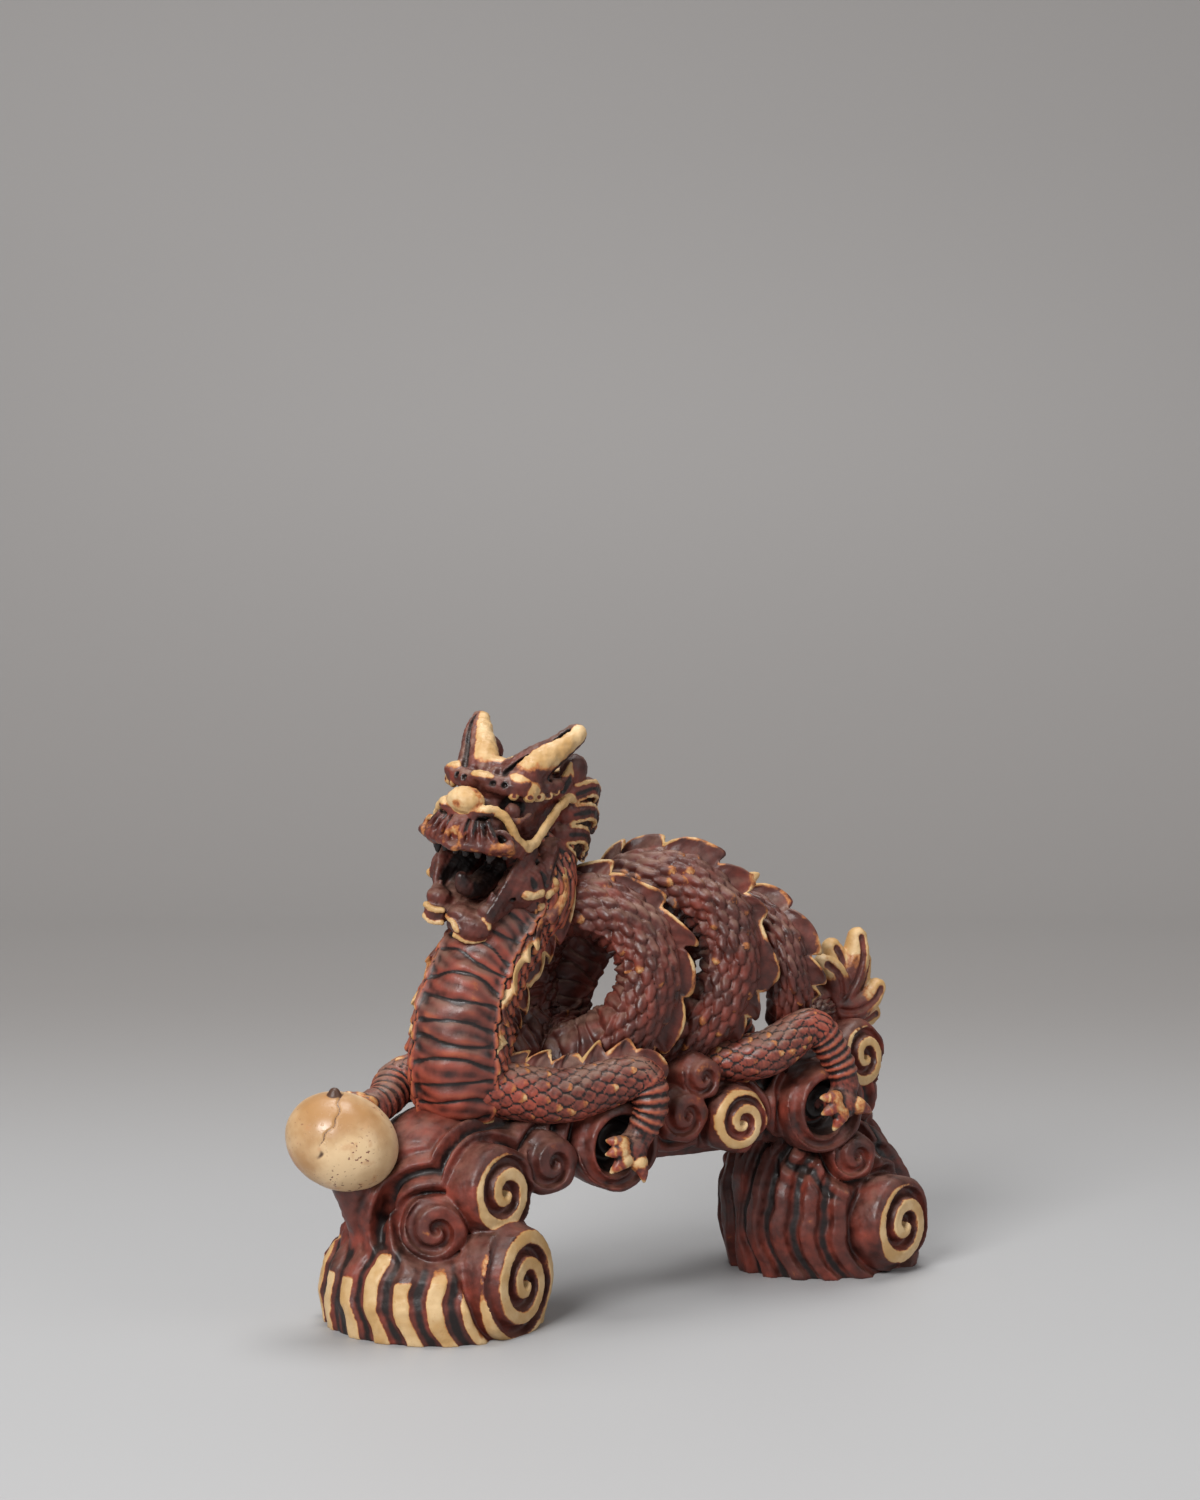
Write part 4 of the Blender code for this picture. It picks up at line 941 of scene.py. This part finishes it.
def pearl():
    centre = pearl_centre()
    tilt = radians(24)
    axis = unit((0.84 * cos(tilt), -0.545 * cos(tilt), -sin(tilt)))
    side = unit(np.cross(axis, UP))
    axes = np.stack((axis, side, np.cross(axis, side)))
    clay = Clay(centre - 13, centre + 13, FINE_VOXEL)
    clay.add(ball(centre, (11.7, 9.8, 9.8), axes), 0.1, 1.0)
    clay.add(strand([(*(centre + (-2.4, -1, 8)), 2.0), (*(centre + (-2.2, -1, 10.2)), 1.2)]), 0.6, 0.2)
    points, quads, paint = clay.surface()
    offset = points - centre
    along = offset @ axis + 3.4 + 0.5 * np.sin(offset[:, 2] * 0.8) + 0.25 * np.sin(offset[:, 2] * 2.3)
    seam = np.exp(-(along / 0.2) ** 2) * ramp(offset[:, 2], -1, 2)
    chip = np.exp(-(along / 0.6) ** 2) * np.exp(-((offset[:, 2] + 1) / 1.2) ** 2) * (offset[:, 1] < 0)
    flaw = np.maximum(seam, chip)
    points = raised(points, quads, -(0.25 * flaw + 0.06 * waves(points, 4, 31)))
    # Browner towards the side turned from the lamp: partly brown stain, partly painted shade
    stain_and_shade = ramp(-(offset @ PEARL_LIT_SIDE) + 1.6 * waves(points, 7, 32), 0, 7)
    make_piece("pearl", ["pearl"], PEARL, (points, quads, paint - 0.7 * flaw - 0.42 * stain_and_shade))


# Limbs

FRINGE_BACK = np.array((0.0, 0.35, 1.0))


def limb(name, nodes, stops, paw, claws, shin, fringe=0.0):
    """A scaled leg from rows of x, y, z, radius, with a clawed paw at its end and a fringe along its top."""
    stops = np.asarray(stops, float)
    paw = np.asarray(paw, float)
    tips = np.array([claw[-1][:3] for claw in claws])
    everything = np.vstack((stops[:, :3], paw[None, :3], tips))
    clay = Clay(everything.min(0) - 8, everything.max(0) + 8, FINE_VOXEL)
    clay.add(strand(stops, 8), 0.5)
    clay.add(ball(paw, 3.6), 1.5, 0.1)
    for claw in claws:
        claw = np.asarray(claw, float)
        clay.add(strand(claw, 5), 0.6, 0.15)
        clay.add(ball(claw[1, :3], claw[1, 3] * 1.25), 0.5, 0.55)
        clay.add(strand(claw[-2:], 3), 0.3, 0.95)
    points, quads, paint = clay.surface()
    rows, places = even(curve(stops, 12), 0.5)
    gaps = np.stack([np.linalg.norm(points - row[:3], axis=1) for row in rows])
    nearest = gaps.argmin(0)
    gap = gaps.min(0)
    ways = unit(np.gradient(rows[:, :3], axis=0))[nearest]
    offset = points - rows[nearest, :3]
    back = unit(UP - ways * ways[:, 2:3])
    angle = np.arctan2((offset * np.cross(ways, back)).sum(1), (offset * back).sum(1))
    u = places[nearest] + (offset * ways).sum(1)
    on_leg = ramp(rows[nearest, 3] + 1.2 - gap, 0, 0.6) * ramp(places[-1] - u, 0.5, 2.5)
    scale, wear = scales(u, angle / (2 * pi) * 12, 2.3)
    paint = np.maximum(paint, 0.46 * wear * on_leg * (u < shin))
    rings = 0.5 + 0.5 * np.cos(2 * pi * u / 1.9)
    low_leg = ramp(u, shin, shin + 2)
    points = raised(points, quads, on_leg * (0.5 * scale * (1 - low_leg) + 0.42 * rings * low_leg))
    surface = rough(points, quads, paint, 0.08, 2.0, len(name))
    if fringe:
        rows, places = even(curve(stops[:4], 12), SKIN_STEP)
        ways, backs = frames(rows[:, :3], np.tile(FRINGE_BACK, (len(rows), 1)))
        surface = merged(surface, fin(rows, places, ways, backs, rows[:, 3], fringe))
    make_piece(name, nodes, HIDE, surface, len(points))


# Along each claw: its distance from the paw, the share of its length that is added, its bow and its radius
CLAW_ROWS = ((1.5, 0, 0, 1.7), (3.6, 0, 0.9, 1.5), (3.6, 0.55, 0.6, 1.1), (3.4, 1, -0.5, 0.35))
FORE_CLAWS = ((-1, -0.2, 0.5), (-1, -0.3, 0.05), (-0.8, -0.3, -0.5), (0.2, -0.5, -0.8))
HOLD_CLAWS = ((-0.9, -0.7, 0.4), (-1, 0.1, 0.5), (-0.7, 0.6, 0.1))
HIND_CLAWS = ((-1, -0.3, 0.35), (-1, -0.4, -0.2), (-0.6, -0.5, -0.75), (0.9, -0.5, -0.3))


def claw_set(paw, ways, length):
    """Curved claws from the paw, one for each direction."""
    claws = []
    for way in ways:
        way = unit(way)
        bow = unit(np.cross(np.cross(way, LEFT), way) + UP * 0.4)
        claws.append([(*(paw + way * (out + share * length) + bow * rise), radius)
                      for out, share, rise, radius in CLAW_ROWS])
    return claws


def limbs():
    fore = np.array((-9.0, -18.6, 34.5))
    limb("left_foreleg", ["left_foreleg", "left_fore_paw"],
         [(-36, -6.5, 48.5, 5.6), (-22, -13.5, 46.5, 5.4), (-7, -18, 49.5, 4.2), (-4.5, -19.6, 43.5, 3.4),
          (*(fore + (2.5, 0, 3)), 2.9)], fore, claw_set(fore, FORE_CLAWS, 3.4), 33, 4.2)
    hold = pearl_centre() + (8.6, 3.0, 5.4)
    limb("right_foreleg", ["right_foreleg", "right_fore_paw"],
         [(-40, 6.5, 50, 5.2), (-48, 8.5, 48.5, 4.4), (*(hold + (4, 1.5, 1.0)), 3.4), (*hold, 3.0)],
         hold, claw_set(hold, HOLD_CLAWS, 4.4), 9)
    for side, sign in (("left", 1), ("right", -1)):
        name = side + "_hind_leg"
        stops = [(21, -8, 48.5, 4.4), (29, -14, 50.5, 4.7), (38.5, -16.5, 55.5, 3.7), (44, -17.8, 49, 3.2),
                 (46, -18.8, 43, 2.9)]
        paw = np.array((44.5, -19.2 * sign, 39.0))
        claws = claw_set(paw, HIND_CLAWS * np.array((1, sign, 1)), 3.2)
        limb(name, [name, side + "_hind_paw"], stops * np.array((1, sign, 1, 1)), paw, claws, 23)


# Each lock of the tail: its lean, length and place across
TAIL_LOCKS = ((-0.05, 9.5, -1.5), (0.3, 12.5, 1), (0.6, 16.5, -0.5), (1.0, 14, 1.5), (1.45, 13, -1.5),
              (1.9, 13.5, 1), (2.4, 15, -1))


def tail_tuft():
    """Flame locks with grooved faces and rubbed edges."""
    clay = Clay((46, -13, 36), (80, 15, 84), FINE_VOXEL)
    for lean, length, out in TAIL_LOCKS:
        way = np.array((sin(lean), 0, cos(lean)))
        bend = np.array((cos(lean), 0, -sin(lean)))

        def bare(amount, low, high):
            return lambda p: amount * ramp((p - TAIL_ROOT) @ way, length * low, length * high)
        tips = [TAIL_ROOT - way * 2, TAIL_ROOT + way * length * 0.35 + bend * 1.8 + (0, out * 0.6, 0),
                TAIL_ROOT + way * length * 0.75 + bend * 0.8 + (0, out, 0),
                TAIL_ROOT + way * length - bend * 1.4 + (0, out, 0)]
        core = [(*tip, radius) for tip, radius in zip(tips, (3.5, 3.6, 3.1, 2.1))]
        clay.add(strand(core, 5), 0.5, bare(0.8, 0.4, 0.85))
        for sign in (-1, 1):
            for shift in (-1.9, 1.9):
                edge = [(*(tip + bend * shift * f + (0, sign * 1.9 * f, 0)), 0.7)
                        for tip, f in zip(tips, (1, 1, 0.9, 0.5))]
                clay.add(strand(edge, 5), 0.4, bare(0.75, 0.2, 0.5))
            groove = [(*(tip + (0, sign * 3.2 * f, 0)), 0.5) for tip, f in zip(tips, (1, 1, 0.9, 0.6))]
            clay.cut(strand(groove, 5), 0.9, 0.0)
    make_piece("tail_tuft", ["tail_tuft"], HIDE, rough(*clay.surface(), 0.1, 2.0, 41))


# Materials

class Nodes:
    """Short calls for a material's node tree."""

    def __init__(self, name):
        self.material = bpy.data.materials.new(name)
        self.material.use_nodes = True
        self.tree = self.material.node_tree
        self.shader = self.tree.nodes["Principled BSDF"]

    def put(self, socket, value):
        if isinstance(value, bpy.types.NodeSocket):
            self.tree.links.new(value, socket)
        else:
            socket.default_value = value

    def node(self, kind, output, inputs, **settings):
        """One output of a new node, with its inputs by name or number."""
        node = self.tree.nodes.new("ShaderNode" + kind)
        for name, value in settings.items():
            setattr(node, name, value)
        for name, value in inputs.items():
            self.put(node.inputs[name], value)
        return node.outputs[output]

    def attribute(self, name):
        return self.node("Attribute", "Fac", {}, attribute_name=name)

    def place(self):
        return self.node("TexCoord", "Object", {})

    def axis(self, vector, name):
        return self.node("SeparateXYZ", name, {0: vector})

    def noise(self, scale, detail=4.0):
        return self.node("TexNoise", "Fac", {"Vector": self.place(), "Scale": scale, "Detail": detail})

    def cells(self, scale):
        return self.node("TexVoronoi", "Distance", {"Vector": self.place(), "Scale": scale})

    def math(self, operation, *values):
        return self.node("Math", 0, dict(enumerate(values)), operation=operation)

    def stirred(self, value, noise, amount):
        """The value with a noise added that swings to both sides of zero."""
        return self.math("MULTIPLY_ADD", self.math("SUBTRACT", noise, 0.5), amount, value)

    def fit(self, value, low, high, out_low=0.0, out_high=1.0):
        values = (value, low, high, out_low, out_high)
        return self.node("MapRange", 0, dict(enumerate(values)), interpolation_type="SMOOTHSTEP")

    def mix(self, share, a, b):
        return self.node("Mix", 2, {0: share, 6: a, 7: b}, data_type="RGBA")

    def finished(self, colour, roughness, height=None, strength=0.0, distance=0.0):
        """The material with its colour, its roughness and a bump from a height."""
        inputs = self.shader.inputs
        self.put(inputs["Base Color"], colour)
        self.put(inputs["Roughness"], roughness)
        if height is not None:
            bump = {"Strength": strength, "Distance": distance, "Height": height}
            self.put(inputs["Normal"], self.node("Bump", 0, bump))
        return self.material


# Near black of the painted shade in hollows and creases
SHADE_DARK = (0.009, 0.004, 0.0035, 1)
MAROON = (0.15, 0.036, 0.025, 1)
RED = (0.31, 0.052, 0.029, 1)
ORANGE = (0.40, 0.135, 0.035, 1)
CREAM = (0.48, 0.28, 0.105, 1)
IVORY = (0.65, 0.45, 0.235, 1)
DUST = (0.2, 0.112, 0.08, 1)
BROWN = (0.07, 0.03, 0.016, 1)
# Bright red-orange of raised parts: partly rubbed wear, partly painted highlight
WORN_AND_HIGHLIGHT = (0.42, 0.105, 0.048, 1)
GOLD = (0.39, 0.205, 0.08, 1)
BONE = (0.69, 0.49, 0.28, 1)
FLOOR_NEAR = (0.385, 0.383, 0.385, 1)
FLOOR_PALE = (0.415, 0.413, 0.412, 1)
FLOOR_FAR = (0.27, 0.255, 0.246, 1)
WALL_GREY = (0.274, 0.26, 0.252, 1)


def stained(name, red, rub, dust):
    """Red-brown stain over ivory resin, rubbed away on raised edges, with painted shade darkening the
    hollows and a painted highlight on raised parts.
    """
    n = Nodes(name)
    cream = n.attribute("cream")
    ridge = n.attribute("ridge")
    swell = n.attribute("swell")
    patch = n.noise(330.0, 5.0)
    grain = n.noise(1500.0, 3.0)
    broad = n.noise(90.0, 3.0)
    lift = n.math("MULTIPLY_ADD", ridge, rub, cream)
    lift = n.stirred(n.stirred(lift, patch, 1.3), grain, 0.35)
    # Painted shade: sunken places and negative cream paint darken the stain towards near black
    depth = n.math("ADD", n.math("MULTIPLY", ridge, 4.4), n.math("MULTIPLY", swell, 0.8))
    depth = n.stirred(n.math("ADD", depth, n.math("MINIMUM", cream, 0.0)), patch, 0.5)
    shade = n.fit(depth, -0.24, 0.26)
    # Raised parts turn bright red-orange: partly rubbed wear, partly painted highlight
    worn_and_highlight = n.fit(depth, 0.16, 0.62, 0.0, 0.75)
    stain_and_shade = n.mix(n.fit(broad, 0.38, 0.66, 0.0, red), MAROON, RED)
    stain_and_shade = n.mix(shade, SHADE_DARK, n.mix(worn_and_highlight, stain_and_shade, WORN_AND_HIGHLIGHT))
    upward = n.axis(n.node("NewGeometry", "Normal", {}), "Z")
    dusty = n.math("MULTIPLY", n.fit(upward, 0.1, 0.8), n.fit(n.noise(190.0), 0.34, 0.6, 0.1, dust))
    dusty = n.math("MULTIPLY", dusty, n.fit(shade, 0.0, 0.7, 0.25, 1.0))
    stain_and_shade = n.mix(dusty, stain_and_shade, DUST)
    ivory = n.mix(n.fit(n.noise(160.0, 6.0), 0.35, 0.7), CREAM, IVORY)
    ivory = n.mix(n.fit(grain, 0.62, 0.75, 0.0, 0.35), ivory, ORANGE)
    halo = n.mix(n.fit(lift, 0.3, 0.55), stain_and_shade, ORANGE)
    colour = n.mix(n.fit(lift, 0.46, 0.74), halo, ivory)
    pits = n.fit(n.cells(900.0), 0.0, 0.22)
    height = n.math("ADD", n.math("MULTIPLY", pits, 0.5), n.math("ADD", grain, patch))
    n.shader.inputs["Specular IOR Level"].default_value = 0.45
    return n.finished(colour, n.fit(patch, 0.3, 0.7, 0.36, 0.6), height, 0.35, 0.00018)


def sweep(name):
    """A matt sweep with a faint mottle, pale in front, darker behind and mid grey up the wall."""
    n = Nodes(name)
    near = n.mix(n.noise(3.0), FLOOR_NEAR, FLOOR_PALE)
    x, y, z = (n.axis(n.place(), name) for name in "XYZ")
    behind = n.math("MULTIPLY_ADD", y, cos(CAMERA_TURN), n.math("MULTIPLY", x, -sin(CAMERA_TURN)))
    floor = n.mix(n.fit(behind, 0.0, 0.42), near, FLOOR_FAR)
    return n.finished(n.mix(n.fit(z, 0.02, 0.2), floor, WALL_GREY), 0.55)


def bare_ivory(name):
    """Old ivory resin with brown specks, a warm mottle, stain left in its cracks, and brown stain with
    painted shade on the side turned from the lamp.
    """
    n = Nodes(name)
    mottle = n.mix(n.fit(n.noise(60.0, 6.0), 0.38, 0.62), GOLD, BONE)
    mottle = n.mix(n.fit(n.noise(240.0, 5.0), 0.55, 0.72, 0.0, 0.5), mottle, ORANGE)
    specks = n.fit(n.noise(1300.0, 2.0), 0.62, 0.7)
    patches = n.fit(n.noise(120.0, 4.0), 0.45, 0.62)
    mottle = n.mix(n.math("MULTIPLY", specks, patches), mottle, MAROON)
    colour = n.mix(n.fit(n.attribute("cream"), 0.3, 0.75), BROWN, mottle)
    height = n.math("SUBTRACT", n.noise(500.0), specks)
    return n.finished(colour, n.fit(n.noise(300.0), 0.3, 0.7, 0.28, 0.46), height, 0.3, 0.00015)


HIDE = stained("stained_hide", 0.8, 1.9, 0.9)
CLOUD = stained("stained_cloud", 1.0, 1.5, 0.45)
PEARL = bare_ivory("bare_ivory")


# Studio

CAMERA_PLACE = np.array((-443.15, -675.91, 193.9))
CAMERA_TURN = radians(-33)
CAMERA_PITCH = radians(5.553)
CAMERA_LENS = 93.2
SENSOR_WIDTH = 36
# Name, place, height of the point it looks at, size and power of each lamp
LAMPS = (("key", (-0.95, -0.5, 0.8), 0.05, 0.5, 17), ("fill", (0.6, -1.0, 0.6), 0.06, 0.8, 3),
         ("top", (0.1, 0.15, 1.2), 0.05, 0.6, 9))
WORLD_COLOUR = (0.9, 0.92, 0.95, 1)
WORLD_STRENGTH = 0.25
SWEEP_ENDS = (-1.6, 0.55)
SWEEP_RADIUS = 0.35
SWEEP_SIDES = (-2.5, 2.5)
WALL_HEIGHTS = (0.8, 1.4, 2.2)


def area_light(name, place, aim, size, power):
    data = bpy.data.lights.new(name, "AREA")
    data.energy = power
    data.size = size
    item = placed(name, data)
    item.location = place
    item.rotation_euler = (Vector((0, 0, aim)) - Vector(place)).to_track_quat("-Z", "Y").to_euler()


def studio():
    """A pale sweep that curves up behind the ornament, soft lamps and the photo's camera."""
    bend = np.linspace(0.1, pi / 2, 10)
    foot_line = SWEEP_ENDS[1] + SWEEP_RADIUS * np.sin(bend)
    depth = np.concatenate((np.linspace(*SWEEP_ENDS, 8), foot_line, np.full(3, foot_line[-1])))
    rise = np.concatenate((np.zeros(8), SWEEP_RADIUS * (1 - np.cos(bend)), WALL_HEIGHTS))
    ahead = np.array((sin(-CAMERA_TURN), cos(CAMERA_TURN)))
    across = np.array((ahead[1], -ahead[0]))
    points = [(*(ahead * d + across * w), z) for d, z in zip(depth, rise) for w in SWEEP_SIDES]
    faces = [(2 * k, 2 * k + 1, 2 * k + 3, 2 * k + 2) for k in range(len(depth) - 1)]
    mesh = bpy.data.meshes.new("floor")
    mesh.from_pydata(points, [], faces)
    mesh.shade_smooth()
    mesh.materials.append(sweep("pale_sweep"))
    placed("floor", mesh)
    for lamp in LAMPS:
        area_light(*lamp)
    scene = bpy.context.scene
    scene.world = bpy.data.worlds.new("studio")
    scene.world.use_nodes = True
    background = scene.world.node_tree.nodes["Background"].inputs
    background[0].default_value = WORLD_COLOUR
    background[1].default_value = WORLD_STRENGTH
    data = bpy.data.cameras.new("camera")
    data.lens = CAMERA_LENS
    data.sensor_width = SENSOR_WIDTH
    data.clip_start = 0.01
    camera = placed("camera", data)
    camera.location = CAMERA_PLACE * MM
    camera.rotation_euler = (pi / 2 - CAMERA_PITCH, 0, CAMERA_TURN)
    scene.camera = camera
    scene.view_settings.view_transform = "Standard"


studio()
crests(*body())
neck()
head()
jaw()
clouds()
pearl()
limbs()
tail_tuft()
